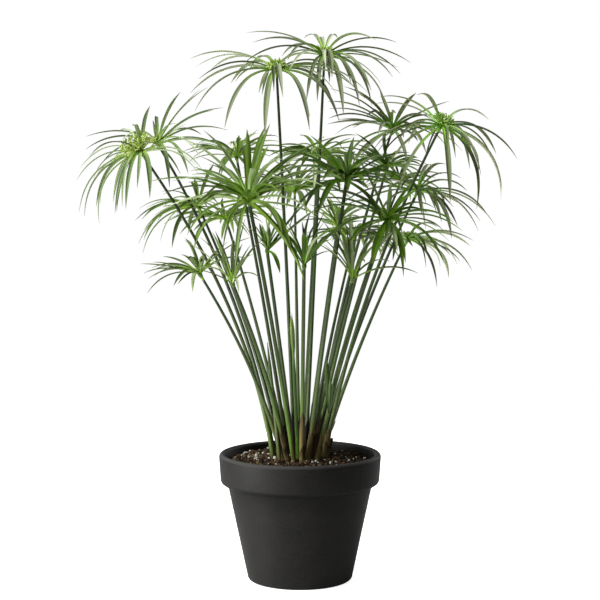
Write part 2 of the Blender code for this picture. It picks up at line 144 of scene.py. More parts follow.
def add_lamp(name, kind, energy, place, aim, **settings):
    lamp = bpy.data.lights.new(name, kind)
    lamp.energy = energy
    for setting, value in settings.items():
        setattr(lamp, setting, value)
    stand = bpy.data.objects.new(name, lamp)
    stand.location = place
    stand.visible_camera = False
    stand.rotation_euler = (Vector(aim) - Vector(place)).to_track_quat("-Z", "Y").to_euler()
    bpy.context.scene.collection.objects.link(stand)


add_lamp("soft_key", "SUN", 3.35, (-1.1, -0.6, 1.3), (0, 0, 0.2), angle=math.radians(50))
add_lamp(
    "low_panel", "AREA", 0.8, (-0.5, -0.22, 0.06), (0, 0, 0.05), size=0.3, spread=math.radians(50))
add_lamp("back_panel", "AREA", 4.5, (0.9, 0.9, 0.5), (0, 0, 0.2), size=0.6)

paper = bpy.data.meshes.new("floor")
paper.from_pydata(
    [(0.9 * math.cos(math.tau * i / 96), 0.9 * math.sin(math.tau * i / 96), 0) for i in range(96)],
    [], [tuple(range(96))])
floor = bpy.data.objects.new("floor", paper)
bpy.context.scene.collection.objects.link(floor)
backing_paper, tree, shader, in_mm = new_material("backing_paper", 1.4, 0.9, 0.1)
tooth = add_node(tree, "TexNoise", {"Vector": in_mm, "Scale": 0.4, "Detail": 3})
tint = add_node(
    tree, "ValToRGB", {"Fac": tooth.outputs["Fac"]},
    stops=((0.3, colour("#f1f1ef")), (0.7, colour("#f5f5f4"))))
tree.links.new(tint.outputs[0], shader.inputs["Base Color"])
# The paper is lit from beneath for the eye alone, so that the pot's shadow on it stays faint.
shader.inputs["Emission Color"].default_value = (1, 1, 1, 1)
seen = add_node(tree, "LightPath").outputs["Is Camera Ray"]
glow = add_node(tree, "Math", {0: seen, 1: 0.85}, operation="MULTIPLY")
tree.links.new(glow.outputs[0], shader.inputs["Emission Strength"])
paper.materials.append(backing_paper)


# Pot
#
# A standard banded pot of 155 mm: clay thrown on a wheel, coloured charcoal right through and
# fired without a glaze. The broad band at the rim and its soft lip are turned with it.

POT_HEIGHT = 122 * MM
RIM_RADIUS = 77.5 * MM
BAND_HEIGHT = 28 * MM
BAND_FOOT_RADIUS = 76 * MM
BODY_TOP_RADIUS = 69 * MM
FOOT_RADIUS = 50.5 * MM
LIP = 6.5 * MM
POT_FLOOR = 8 * MM
FLOOR_RADIUS = 46.5 * MM
EDGE = 4 * MM
POT_SIDES = 180


def turned(profile, sides):
    """Points and faces of a profile of (radius, height) turned about Z, closed at both its ends."""
    points, faces = [], []
    rows = []
    for radius, height in profile:
        if radius == 0:
            rows.append([len(points)] * sides)
            points.append((0, 0, height))
            continue
        rows.append(range(len(points), len(points) + sides))
        for i in range(sides):
            angle = math.tau * i / sides
            points.append((radius * math.cos(angle), radius * math.sin(angle), height))
    for lower, upper in zip(rows, rows[1:]):
        for i in range(sides):
            j = (i + 1) % sides
            corners = (lower[i], lower[j], upper[j], upper[i])
            faces.append(tuple(dict.fromkeys(corners)))
    return points, faces


def rounded(radius, height, size, start, steps=6):
    """Points of a rounded edge, as a quarter circle about (radius, height) from the angle start."""
    angles = [start + i * math.pi / 2 / steps for i in range(steps + 1)]
    return [(radius + size * math.cos(a), height + size * math.sin(a)) for a in angles]


def add_piece(name, points, faces, finish, slot, stands_for=(), maps=None, sharp=50):
    """Adds a piece that rides with the plant. maps gives each face corner its place on a UV map."""
    mesh = bpy.data.meshes.new(name)
    mesh.from_pydata([tuple(point) for point in points], [], faces)
    mesh.materials.append(finish)
    for layer, values in (maps or {}).items():
        mesh.uv_layers.new(name=layer).data.foreach_set("uv", np.asarray(values, float).ravel())
    mesh.shade_smooth()
    mesh.set_sharp_from_angle(angle=math.radians(sharp))
    made = bpy.data.objects.new(name, mesh)
    bpy.context.scene.collection.objects.link(made)
    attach(made, "root")
    if stands_for:
        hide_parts(*stands_for)
    return made


lip = LIP / 2
band_foot = POT_HEIGHT - BAND_HEIGHT
profile = [(0, 0), (FOOT_RADIUS - EDGE - 9 * MM, 0)]
profile += rounded(FOOT_RADIUS - EDGE, EDGE, EDGE, -math.pi / 2)
for i in range(1, 8):
    share = i / 8
    profile.append((
        FOOT_RADIUS + (BODY_TOP_RADIUS - FOOT_RADIUS) * share,
        EDGE + (band_foot - 2.5 * MM - EDGE) * share))
profile += [(BODY_TOP_RADIUS, band_foot - 2.5 * MM), (BODY_TOP_RADIUS + 0.6 * MM, band_foot - 1.2 * MM)]
profile += rounded(BAND_FOOT_RADIUS - EDGE, band_foot + EDGE - MM, EDGE, -math.pi / 2)
profile += rounded(RIM_RADIUS - lip, POT_HEIGHT - lip, lip, 0)
profile += rounded(RIM_RADIUS - lip, POT_HEIGHT - lip, lip, math.pi / 2)[1:]
profile += [(FLOOR_RADIUS, POT_FLOOR), (0, POT_FLOOR)]

fired_clay, tree, shader, in_mm = new_material("unglazed_charcoal_clay", 1.45, 0.55, 0.12)
# Unglazed clay is matt, with a soft cloudiness from the fire, fine pale grog and faint turning
# lines. The grog is drawn at 0.7 mm, coarser than it is, so that it shows.
cloud = add_node(tree, "TexNoise", {"Vector": in_mm, "Scale": 1 / 26, "Detail": 4, "Roughness": 0.6})
body = add_node(
    tree, "ValToRGB", {"Fac": cloud.outputs["Fac"]},
    stops=((0.32, colour("#101010")), (0.68, colour("#171615"))))
grog = add_node(tree, "TexNoise", {"Vector": in_mm, "Scale": 1 / 0.7, "Detail": 2})
speck = add_node(
    tree, "MapRange", {"Value": grog.outputs["Fac"], "From Min": 0.52, "From Max": 0.8})
clay = add_node(
    tree, "Mix",
    {"Factor": speck.outputs[0], "A": body.outputs[0], "B": colour("#2b2926")},
    data_type="RGBA")
# The clay is painted paler along the lip, a painted highlight, and darker in the shelter under
# the band, as painted shade.
up = add_node(tree, "SeparateXYZ", {0: in_mm}).outputs["Z"]
painted_lip_highlight = add_node(
    tree, "MapRange",
    {"Value": up, "From Min": 119, "From Max": 121.6, "To Min": 0.0, "To Max": 0.9})
clay_with_lip_highlight = add_node(
    tree, "Mix",
    {"Factor": painted_lip_highlight.outputs[0], "A": clay.outputs["Result"], "B": colour("#3a3937")},
    data_type="RGBA")
# Painted shade under the band: the clay is darkened most just below the band.
painted_shade_under_band = add_node(
    tree, "ValToRGB",
    {"Fac": add_node(tree, "MapRange", {"Value": up, "From Min": 70, "From Max": 96}).outputs[0]},
    stops=((0.0, (1, 1, 1, 1)), (0.72, (0.62, 0.62, 0.62, 1)), (0.93, (0.3, 0.3, 0.3, 1)),
           (1.0, (1, 1, 1, 1))))
clay_with_band_shade = add_node(
    tree, "Mix",
    {"Factor": 1.0, "A": clay_with_lip_highlight.outputs["Result"], "B": painted_shade_under_band.outputs[0]},
    data_type="RGBA", blend_type="MULTIPLY")
tree.links.new(clay_with_band_shade.outputs["Result"], shader.inputs["Base Color"])
stretched = add_node(tree, "VectorMath", {0: in_mm, 1: (0.03, 0.03, 1)}, operation="MULTIPLY")
turning = add_node(tree, "TexNoise", {"Vector": stretched.outputs[0], "Scale": 1 / 1.3, "Detail": 2})
relief = add_node(
    tree, "Math", {0: grog.outputs["Fac"], 1: turning.outputs["Fac"]}, operation="ADD")
bump = add_node(
    tree, "Bump", {"Height": relief.outputs[0], "Strength": 0.35, "Distance": 0.12 * MM})
tree.links.new(bump.outputs[0], shader.inputs["Normal"])
matt = add_node(
    tree, "MapRange", {"Value": cloud.outputs["Fac"], "To Min": 0.50, "To Max": 0.64})
tree.links.new(matt.outputs[0], shader.inputs["Roughness"])
add_piece("pot_turned", *turned(profile, POT_SIDES), fired_clay, "clay", ("pot",), sharp=60)


# Potting mix
#
# Damp peat and composted bark with white perlite, filled to 8 mm under the rim and heaped a
# little round the clump. Its crumbs, chips and perlite lie loose on the surface.

SOIL_BELOW_RIM = 8 * MM
MOUND = 3 * MM
CLUMP_RADIUS = 28 * MM
SOIL_TOP = POT_HEIGHT - SOIL_BELOW_RIM
MOUND_TOP = SOIL_TOP + MOUND
SOIL_EDGE = FLOOR_RADIUS + (SOIL_TOP - POT_FLOOR) * (
    (RIM_RADIUS - LIP - FLOOR_RADIUS) / (POT_HEIGHT - LIP / 2 - POT_FLOOR)) - 0.2 * MM


def soil_height(x, y):
    """How high the soil stands at a place: the mound, and the clods and crumbs on it."""
    out = math.hypot(x, y)
    share = max(0, (out - CLUMP_RADIUS) / (SOIL_EDGE - CLUMP_RADIUS))
    place = Vector((x, y, 0))
    clods = noise.noise(place / (9 * MM)) * 1.3 + noise.noise(place / (3.5 * MM)) * 0.8
    grit = noise.noise(place / (1.6 * MM)) * 0.4
    return MOUND_TOP - MOUND * share ** 1.5 + (clods + grit) * MM


points, faces = [(0, 0, soil_height(0, 0))], []
RINGS, SPOKES = 62, 200
for ring in range(1, RINGS + 1):
    radius = SOIL_EDGE * ring / RINGS
    for spoke in range(SPOKES):
        x, y = (radius * math.cos(math.tau * spoke / SPOKES),
                radius * math.sin(math.tau * spoke / SPOKES))
        points.append((x, y, soil_height(x, y)))
for height, radius in ((SOIL_TOP - 4 * MM, SOIL_EDGE - 1.2 * MM), (POT_FLOOR + 0.3 * MM, FLOOR_RADIUS - 0.3 * MM)):
    for spoke in range(SPOKES):
        points.append((radius * math.cos(math.tau * spoke / SPOKES),
                       radius * math.sin(math.tau * spoke / SPOKES), height))
for spoke in range(SPOKES):
    after = (spoke + 1) % SPOKES
    faces.append((0, 1 + spoke, 1 + after))
    for ring in range(RINGS + 1):
        row = 1 + ring * SPOKES
        faces.append((row + spoke, row + SPOKES + spoke, row + SPOKES + after, row + after))
faces.append(tuple(1 + (RINGS + 1) * SPOKES + spoke for spoke in reversed(range(SPOKES))))


def painted_shade_to_right(tree, in_mm, colour_ramp):
    """The colour, painted darker towards the right as painted shade: full up to 8 mm across, half from 44 mm."""
    across = add_node(tree, "SeparateXYZ", {0: in_mm})
    right_shade = add_node(
        tree, "MapRange",
        {"Value": across.outputs["X"], "From Min": 8, "From Max": 44, "To Min": 1, "To Max": 0.5})
    return add_node(
        tree, "VectorMath", {0: colour_ramp.outputs[0], "Scale": right_shade.outputs[0]}, operation="SCALE")


peat, tree, shader, in_mm = new_material("damp_peat", 1.35, 0.95, 0.15)
# Damp peat is nearly black in its pores and red-brown on its fibres, and has no shine. It is
# painted darker than its own colour, as painted shade in the gaps between the crumbs, and darker
# towards the right, as painted shade.
fibre = add_node(tree, "TexNoise", {"Vector": in_mm, "Scale": 1 / 1.8, "Detail": 6, "Roughness": 0.7})
peat_and_gap_shade = add_node(
    tree, "ValToRGB", {"Fac": fibre.outputs["Fac"]},
    stops=((0.34, colour("#0c0906")), (0.54, colour("#261d13")), (0.76, colour("#54452f"))))
tree.links.new(painted_shade_to_right(tree, in_mm, peat_and_gap_shade).outputs[0], shader.inputs["Base Color"])
bump = add_node(
    tree, "Bump", {"Height": fibre.outputs["Fac"], "Strength": 0.8, "Distance": 0.6 * MM})
tree.links.new(bump.outputs[0], shader.inputs["Normal"])
add_piece("soil_surface", points, faces, peat, "potting_mix", ("soil",), sharp=180)


def lump_shape(subdivisions):
    """The points and faces of a round lump."""
    mesh = bmesh.new()
    bmesh.ops.create_icosphere(mesh, subdivisions=subdivisions, radius=1)
    shape = ([vertex.co.copy() for vertex in mesh.verts],
             [tuple(vertex.index for vertex in face.verts) for face in mesh.faces])
    mesh.free()
    return shape


def scatter_lumps(spots, sizes, shape, roughness, chance):
    """Rough lumps at (x, y) spots on the soil, half sunk in it."""
    points, faces = [], []
    round_points, round_faces = shape
    for (x, y), size in zip(spots, sizes):
        turn = Matrix.Rotation(chance.uniform(0, math.tau), 3, Vector(
            (chance.uniform(-1, 1), chance.uniform(-1, 1), chance.uniform(-1, 1) + 0.01)).normalized())
        stretch = Vector(size)
        origin = Vector((x, y, soil_height(x, y) + min(size) * 0.45))
        first = len(points)
        seed = Vector((chance.uniform(0, 50), chance.uniform(0, 50), chance.uniform(0, 50)))
        for point in round_points:
            swell = 1 + roughness * noise.noise(point * 1.4 + seed)
            points.append(origin + turn @ (point * stretch * swell))
        faces += [tuple(first + corner for corner in face) for face in round_faces]
    return points, faces


def soil_spots(count, reach, chance):
    spots = []
    for _ in range(count):
        out = reach * math.sqrt(chance.random())
        angle = chance.uniform(0, math.tau)
        spots.append((out * math.cos(angle), out * math.sin(angle)))
    return spots


chance = random.Random(7)
crumb_spots = soil_spots(900, SOIL_EDGE - 3 * MM, chance)
crumb_sizes = []
for _ in crumb_spots:
    size = chance.uniform(0.7, 2.2) * chance.uniform(0.7, 1.0) * MM
    crumb_sizes.append((size * chance.uniform(0.8, 1.7), size, size * chance.uniform(0.6, 1)))
bark, tree, shader, in_mm = new_material("composted_bark", 1.4, 0.9, 0.15)
# Crumbs of bark run from near black to a dry, dusty red-brown.
patch = add_node(tree, "TexNoise", {"Vector": in_mm, "Scale": 1 / 5, "Detail": 5, "Roughness": 0.75})
brown = add_node(
    tree, "ValToRGB", {"Fac": patch.outputs["Fac"]},
    stops=((0.38, colour("#120d08")), (0.52, colour("#463727")), (0.70, colour("#86745a"))))
# The crumbs too are painted darker towards the right, as painted shade.
tree.links.new(painted_shade_to_right(tree, in_mm, brown).outputs[0], shader.inputs["Base Color"])
bump = add_node(
    tree, "Bump", {"Height": patch.outputs["Fac"], "Strength": 0.6, "Distance": 0.4 * MM})
tree.links.new(bump.outputs[0], shader.inputs["Normal"])
add_piece(
    "bark_crumbs", *scatter_lumps(crumb_spots, crumb_sizes, lump_shape(2), 0.7, chance),
    bark, "potting_mix", sharp=40)

# The perlite that shows at the front lies where it does in the photo: across and back in
# millimetres. The rest is strewn.
SEEN_PERLITE = (
    (-49, 43), (-45, 9), (-41, -2), (-59, -2), (-32, -18), (-7, -23), (15, -24), (46, -7),
    (62, 4), (-38, 49), (-54, 32), (-46, 48), (-49, 4), (-42, -8), (40, -29), (51, -2),
    (-24, -8), (29, -30), (-52, 38), (-57, 26), (-36, 30), (-62, 12), (17, -27), (-43, 20),
)
perlite_spots = [(x * MM, y * MM) for x, y in SEEN_PERLITE] + soil_spots(46, 64 * MM, chance)
perlite_sizes = []
for _ in perlite_spots:
    size = chance.uniform(0.7, 1.7) * MM
    perlite_sizes.append((size * chance.uniform(0.9, 1.5), size, size * chance.uniform(0.7, 1)))
perlite, tree, shader, in_mm = new_material("expanded_perlite", 1.5, 0.85, 0.2)
# Perlite is volcanic glass puffed to a chalky white foam, stained a little by the peat.
pores = add_node(tree, "TexVoronoi", {"Vector": in_mm, "Scale": 1 / 0.6})
chalk = add_node(
    tree, "ValToRGB", {"Fac": pores.outputs["Distance"]},
    stops=((0.1, colour("#888474")), (0.6, colour("#bab8ac"))))
tree.links.new(chalk.outputs[0], shader.inputs["Base Color"])
bump = add_node(
    tree, "Bump", {"Height": pores.outputs["Distance"], "Strength": 0.6, "Distance": 0.2 * MM})
tree.links.new(bump.outputs[0], shader.inputs["Normal"])
add_piece(
    "perlite", *scatter_lumps(perlite_spots, perlite_sizes, lump_shape(2), 0.5, chance),
    perlite, "potting_mix", sharp=40)


# Culms
#
# The bare flower stems. They are rounded, faintly three-sided and finely ribbed, stand close
# together in the clump and lean out as they rise. Each ends in the hub of its whorl.

GAP = 0.3 * MM
FOOT_PITCH = 7.5 * MM
CULM_FOOT = 2.2 * MM
CULM_TOP = 1.15 * MM
HUB_HEIGHT = 3 * MM
CULM_RUNS = 4

# across, up and back place the hub, in millimetres. bow is how far the culm leans at half its
# height, as a share of its whole lean. reach is a bract's length from hub to tip, rise the
# angle of the bracts that are not listed, width their breadth, flower the height of the
# flower head. Each listed bract has the place of its tip from the hub, across and up in
# millimetres as seen, and its turn: -1 points at the viewer, 0 sideways, 1 away.
Head = namedtuple("Head", "across up back bow reach rise count width flower bracts")

HEADS = (
    Head(-22, 485, -25, 0.45, 96, -22, 18, 4.2, 8, (
        (-81, 11, 0.6), (-75, 4, 1.0), (-62, 0, 1.0), (-81, -21, -0.1), (-77, -38, -0.8),
        (-43, -12, 1.0), (-49, -54, -1.0), (-11, -62, -1.0), (-17, -23, 1.0), (-22, 1, 1.0),
        (31, -56, -1.0), (59, -48, -0.7), (6, -25, -1.0), (69, -11, 0.5), (83, -26, 0.2),
    )),
    Head(23, 498, 15, 0.50, 90, -14, 20, 4.0, 8, (
        (-73, 22, 0.2), (-67, 13, 0.7), (-40, 0, 1.0), (-17, 17, 1.0), (-3, 13, 1.0),
        (12, 17, 1.0), (66, 13, 0.6), (81, -6, 0.1), (73, -16, 0.9), (18, -55, -1.0),
        (33, -46, -1.0), (43, -32, -1.0), (60, -56, -0.5), (-17, -42, -0.8), (7, -20, -1.0),
        (25, -25, 1.0), (-37, -4, -1.0), (-36, -12, -0.7),
    )),
    Head(-150, 408, -20, 0.34, 86, -30, 17, 4.2, 9, (
        (-61, -26, 0.5), (-55, -14, 0.9), (-59, -56, 0.2), (-54, -60, -0.4), (-40, -67, -0.6),
        (-25, -57, -1.0), (-12, -53, -1.0), (-25, -47, 1.0), (8, -43, -1.0), (-45, -51, 1.0),
        (-48, -3, -1.0), (-23, 19, 1.0), (-11, 25, -1.0), (9, 44, 0.6),
    )),
    Head(-134, 416, 50, 0.35, 80, 4, 14, 4.2, 0, (
        (21, 49, -0.5), (47, 53, 0.3), (61, 34, 0.6), (41, 9, 1.0), (66, 13, -0.4),
        (0, 25, 1.0), (9, -41, -1.0), (29, -28, -1.0), (41, -12, -1.0), (68, -8, 0.2),
    )),
    Head(87, 429, 80, 0.40, 78, -4, 16, 4.4, 0, (
        (-61, 27, 0.4), (-59, 39, -0.2), (-46, 41, -1.0), (20, 35, -1.0), (1, 17, 1.0),
        (53, 27, 0.4), (37, 10, -1.0), (50, -14, 0.9), (32, -22, 1.0), (17, -31, -1.0),
        (-54, -4, -0.6), (-60, 11, 0.8), (-38, -33, -0.9), (-30, -25, 1.0),
    )),
    Head(133, 433, -25, 0.38, 92, -28, 18, 4.4, 9, (
        (72, -31, 0.1), (52, -26, 0.9), (42, 6, 1.0), (58, -60, 0.4), (57, -69, -0.3),
        (34, -35, 1.0), (34, -78, -0.8), (9, -72, -1.0), (16, -30, 1.0), (-38, -60, -0.8),
        (-50, -34, -1.0), (-63, 21, 0.5), (-58, 27, 1.0), (-23, 29, -1.0),
    )),
    Head(111, 371, 65, 0.42, 84, -18, 12, 3.6, 0, (
        (13, 25, 1.0), (27, 26, -1.0), (41, 13, 1.0), (44, 1, -1.0), (66, -21, 0.5),
        (74, -32, -0.1), (58, -37, -0.9), (4, -22, -1.0), (35, -44, -1.0),
    )),
    Head(83, 344, -70, 0.44, 76, -6, 16, 5.0, 0, (
        (62, 1, 0.3), (71, -10, -0.5), (44, 12, 1.0), (-36, -21, -0.9), (-15, -42, -1.0),
        (17, -53, -1.0), (26, 29, -1.0),
    )),
    Head(102, 326, 10, 0.44, 70, -18, 13, 3.8, 0, (
        (59, -6, 0.7), (62, -1, 0.1), (61, -29, -0.3), (28, -45, -0.8), (47, -23, 1.0),
        (19, -15, -1.0), (28, 12, 1.0),
    )),
    Head(-96, 357, 60, 0.40, 72, -8, 12, 4.0, 0, (
        (-60, -13, 0.5), (-57, -35, 0.1), (-53, -44, -0.5), (-33, -1, 1.0), (-4, 26, 0.7),
        (-21, -39, -1.0), (-8, 23, -1.0),
    )),
    Head(-95, 293, -60, 0.40, 60, 14, 13, 4.2, 0, (
        (-56, 10, 0.2), (-35, 17, 0.9), (-18, 19, 1.0), (-46, 6, -0.7), (-49, -4, -0.2),
        (-50, -18, 0.6), (-25, -11, -1.0), (3, 18, -1.0), (-14, 34, -1.0), (14, -5, -1.0),
        (-7, -17, 1.0),
    )),
    Head(-64, 284, -105, 0.42, 56, 52, 9, 4.8, 0, (
        (-19, 49, -0.3), (17, 37, 0.6), (19, 28, -1.0), (26, 6, 0.9), (6, -9, -1.0),
    )),
    Head(-48, 361, -110, 0.46, 94, 18, 17, 5.4, 6, (
        (-2, 69, -0.6), (20, 74, 0.6), (18, 53, -1.0), (-43, 68, 0.3), (-56, 30, 0.9),
        (-56, 19, -0.4), (-61, -31, -0.5), (-14, -64, -0.9), (63, -14, -0.7), (66, -12, 0.5),
        (81, 8, 1.0), (52, -74, -0.6), (40, -48, -1.0),
    )),
    Head(-60, 404, 75, 0.46, 60, 2, 12, 3.2, 7, (
        (4, 17, 1.0), (-35, 14, 0.8), (28, 12, 0.9), (20, 22, -1.0),
    )),
    Head(17, 404, 110, 0.48, 62, -4, 12, 4.4, 7, (
        (-34, -14, -0.8), (-30, -22, 0.8), (-17, 20, 1.0), (21, -34, -0.9), (6, 18, 1.0),
    )),
    Head(4, 301, -105, 0.50, 47, 58, 10, 5.0, 0, (
        (-18, 29, 0.5), (-19, 33, -0.7), (-4, 32, -1.0), (1, 35, 1.0), (25, 25, -0.7),
        (29, 34, 0.3),
    )),
    Head(-31, 315, 50, 0.48, 36, 55, 7, 3.6, 0, ()),
    Head(44, 381, -75, 0.48, 68, 8, 15, 5.6, 0, (
        (35, -38, -0.5), (-26, -31, -1.0), (-22, 25, 0.5), (-24, 1, -1.0), (46, -3, 0.6),
        (8, 28, 1.0), (36, 26, 0.4),
    )),
    Head(50, 288, -65, 0.46, 66, 48, 11, 4.8, 0, (
        (-18, 36, 0.5), (-11, 43, -0.4), (2, 26, -1.0), (23, 44, 0.6), (27, 38, -0.4),
        (31, 17, 1.0), (62, 6, -0.2),
    )),
    Head(82, 394, 20, 0.46, 48, 10, 8, 3.6, 0, ()),
    Head(95, 380, 130, 0.42, 54, 4, 9, 3.6, 0, ()),
    Head(36, 338, 60, 0.48, 38, 30, 7, 3.8, 0, ()),
    Head(-70, 345, 130, 0.44, 66, -4, 11, 3.8, 0, ()),
    Head(-5, 372, 150, 0.44, 66, 0, 11, 3.8, 0, ()),
    Head(52, 330, 140, 0.44, 62, -4, 10, 3.8, 0, ()),
)

# The young growth at the front of the clump: foot and tip as seen, how far back each is, and
# its radii from the foot to the tip, evenly spaced.
Shoot = namedtuple("Shoot", "name foot foot_back tip back radii")

SHOOTS = (
    Shoot("young_shoot", (-1, 118), -16, (-8, 256), -46, (2.2, 1.9, 1.8, 2.3, 3.1, 0.35)),
    Shoot("young_spear", (-17, 118), -18, (-31, 228), -26, (2.0, 1.8, 1.6, 1.9, 1.6, 0.3)),
    Shoot("old_stub", (26, 118), 12, (31, 136), 14, (2.1, 2.1, 2.0, 1.9, 1.7, 1.1)),
)

def as_seen(across, up, back):
    """The point at depth back that is seen at across and up on the plane through the middle."""
    on_plane = Vector((across, 0, up))
    return VIEWPOINT + (on_plane - VIEWPOINT) * (1 - back / VIEWPOINT.y)


def scatter(number, step=(math.sqrt(5) - 1) / 2):
    """An even scatter from 0 to 1 that goes on with each whole number."""
    return (number * step) % 1


def parabola(start, middle, end, t):
    return start * (1 - t) ** 2 + middle * (2 * t * (1 - t)) + end * t ** 2


def spread_feet(feet):
    """The feet of the culms, pushed apart until each has its room in the clump."""
    feet = [foot.copy() for foot in feet]
    for _ in range(80):
        for i, one in enumerate(feet):
            for other in feet[i + 1:]:
                apart = one - other
                lack = FOOT_PITCH - apart.length
                if lack > 0:
                    push = apart.normalized() * (lack / 2)
                    one += push
                    other -= push
        for foot in feet:
            if foot.length > CLUMP_RADIUS:
                foot *= CLUMP_RADIUS / foot.length
    return feet


def culm_route(foot, hub, bow):
    """The three guides of a culm's bend: it leaves the clump upright and leans out as it rises."""
    shoulder = foot.lerp(hub, 2 * bow - 0.5)
    shoulder.z = (foot.z + hub.z) / 2
    return foot, shoulder, hub


def lay_out_culms(hubs):
    """The routes of the culms and of the young growth, whose feet share the clump."""
    widest = max(hub.xy.length for hub in hubs)
    feet = [hub.xy.normalized() * (CLUMP_RADIUS * (hub.xy.length / widest) ** 0.8) for hub in hubs]
    for shoot in SHOOTS:
        across, up = shoot.foot
        feet.append(as_seen(across * MM, up * MM, shoot.foot_back * MM).xy)
    feet = spread_feet(feet)
    culms = []
    for head, hub, foot in zip(HEADS, hubs, feet):
        route = culm_route(Vector((foot.x, foot.y, MOUND_TOP + GAP)), hub, head.bow)
        lean = (route[1] - route[0]).normalized()
        route[0].z += CULM_FOOT * lean.xy.length
        culms.append(route)
    shoots = []
    for shoot, foot in zip(SHOOTS, feet[len(HEADS):]):
        across, up = shoot.tip
        tip = as_seen(across * MM, up * MM, shoot.back * MM)
        foot = Vector((foot.x, foot.y, MOUND_TOP + 3 * GAP))
        shoots.append((foot, (foot + tip) / 2, tip))
    return culms, shoots


def stem_rings(route, radii, sides=12, rings=34, sink=7 * MM):
    """Rings of points round a stem, from a little under the soil up to its end."""
    rows = []
    foot, shoulder, end = route
    start = (shoulder - foot).normalized()
    side = start.cross(Vector((0, 1, 0))).normalized()
    for i in range(rings + 1):
        t = i / rings
        centre = parabola(foot, shoulder, end, t)
        along = (parabola(foot, shoulder, end, t + 0.01) - parabola(foot, shoulder, end, t - 0.01))
        along.normalize()
        if i == 0:
            centre = foot - start * sink
        across = (side - along * side.dot(along)).normalized()
        over = along.cross(across)
        place = t * (len(radii) - 1)
        low = min(int(place), len(radii) - 2)
        radius = radii[low] + (radii[low + 1] - radii[low]) * (place - low)
        ring = []
        for j in range(sides):
            angle = math.tau * j / sides
            out = radius * (1 + 0.07 * math.cos(3 * angle))
            ring.append(centre + (across * math.cos(angle) + over * math.sin(angle)) * out)
        rows.append(ring)
    return rows


def skin(rows, tone):
    """Faces over closed rings of points, with caps, and two UV maps: round and along, and tone."""
    sides = len(rows[0])
    points = [point for row in rows for point in row]
    faces, places = [], []
    for i in range(len(rows) - 1):
        for j in range(sides):
            after = (j + 1) % sides
            faces.append((
                i * sides + j, i * sides + after, (i + 1) * sides + after, (i + 1) * sides + j))
            low, high = i / (len(rows) - 1), (i + 1) / (len(rows) - 1)
            places += [(j / sides, low), ((j + 1) / sides, low), ((j + 1) / sides, high), (j / sides, high)]
    faces.append(tuple(reversed(range(sides))))
    last = (len(rows) - 1) * sides
    faces.append(tuple(last + j for j in range(sides)))
    places += [(0.5, 0)] * sides + [(0.5, 1)] * sides
    tones = [(tone, 0)] * len(places)
    return points, faces, places, tones


rind, tree, shader, in_mm = new_material("sedge_rind", 1.45, 0.42, 0.28)
# The rind is smooth and a little waxy, deep green with paler ribs. Its foot, which was under the
# old sheaths, is straw and olive. Higher up it is painted darker, as painted shade under the whorls.
height = add_node(tree, "SeparateXYZ", {0: in_mm}).outputs["Z"]
green = add_node(
    tree, "ValToRGB",
    {"Fac": add_node(
        tree, "MapRange", {"Value": height, "From Min": 112, "From Max": 420}).outputs[0]},
    stops=(
        (0.0, colour("#524d28")), (0.08, colour("#434c22")), (0.2, colour("#3a4722")),
        (0.5, colour("#2f3b1d")), (1.0, colour("#29321d"))))
round_stem = add_node(tree, "UVMap", uv_map="blade").outputs[0]
tone = add_node(tree, "SeparateXYZ", {0: add_node(tree, "UVMap", uv_map="tone").outputs[0]})
fine = add_node(tree, "VectorMath", {0: round_stem, 1: (14, 1.2, 1)}, operation="MULTIPLY")
ribs = add_node(tree, "TexNoise", {"Vector": fine.outputs[0], "Scale": 1.0, "Detail": 3})
dark_ribs = add_node(
    tree, "MapRange",
    {"Value": ribs.outputs["Fac"], "From Min": 0.3, "From Max": 0.7, "To Min": 0.6, "To Max": 1.5})
own = add_node(
    tree, "MapRange", {"Value": tone.outputs["X"], "To Min": 0.7, "To Max": 1.5})
depth = add_node(
    tree, "Math", {0: dark_ribs.outputs[0], 1: own.outputs[0]}, operation="MULTIPLY")
# Some culms are still a fresher green low down.
young = add_node(
    tree, "MapRange",
    {"Value": tone.outputs["X"], "From Min": 0.6, "From Max": 1.0, "To Max": 0.75})
low = add_node(tree, "MapRange", {"Value": height, "From Min": 150, "From Max": 215, "To Min": 1, "To Max": 0})
fresher = add_node(
    tree, "Mix",
    {"Factor": add_node(
        tree, "Math", {0: young.outputs[0], 1: low.outputs[0]}, operation="MULTIPLY").outputs[0],
     "A": green.outputs[0], "B": colour("#44611d")}, data_type="RGBA")
# The green comes and goes down a culm, in patches about 6 mm across and 36 mm long.
long_patch = add_node(
    tree, "TexNoise",
    {"Vector": add_node(
        tree, "VectorMath", {0: in_mm, 1: (0.16, 0.16, 0.028)}, operation="MULTIPLY").outputs[0],
     "Scale": 1.0, "Detail": 2})
greener = add_node(
    tree, "MapRange",
    {"Value": long_patch.outputs["Fac"], "From Min": 0.46, "From Max": 0.64, "To Max": 0.8})
patched = add_node(
    tree, "Mix",
    {"Factor": greener.outputs[0], "A": fresher.outputs["Result"], "B": colour("#30471a")},
    data_type="RGBA")
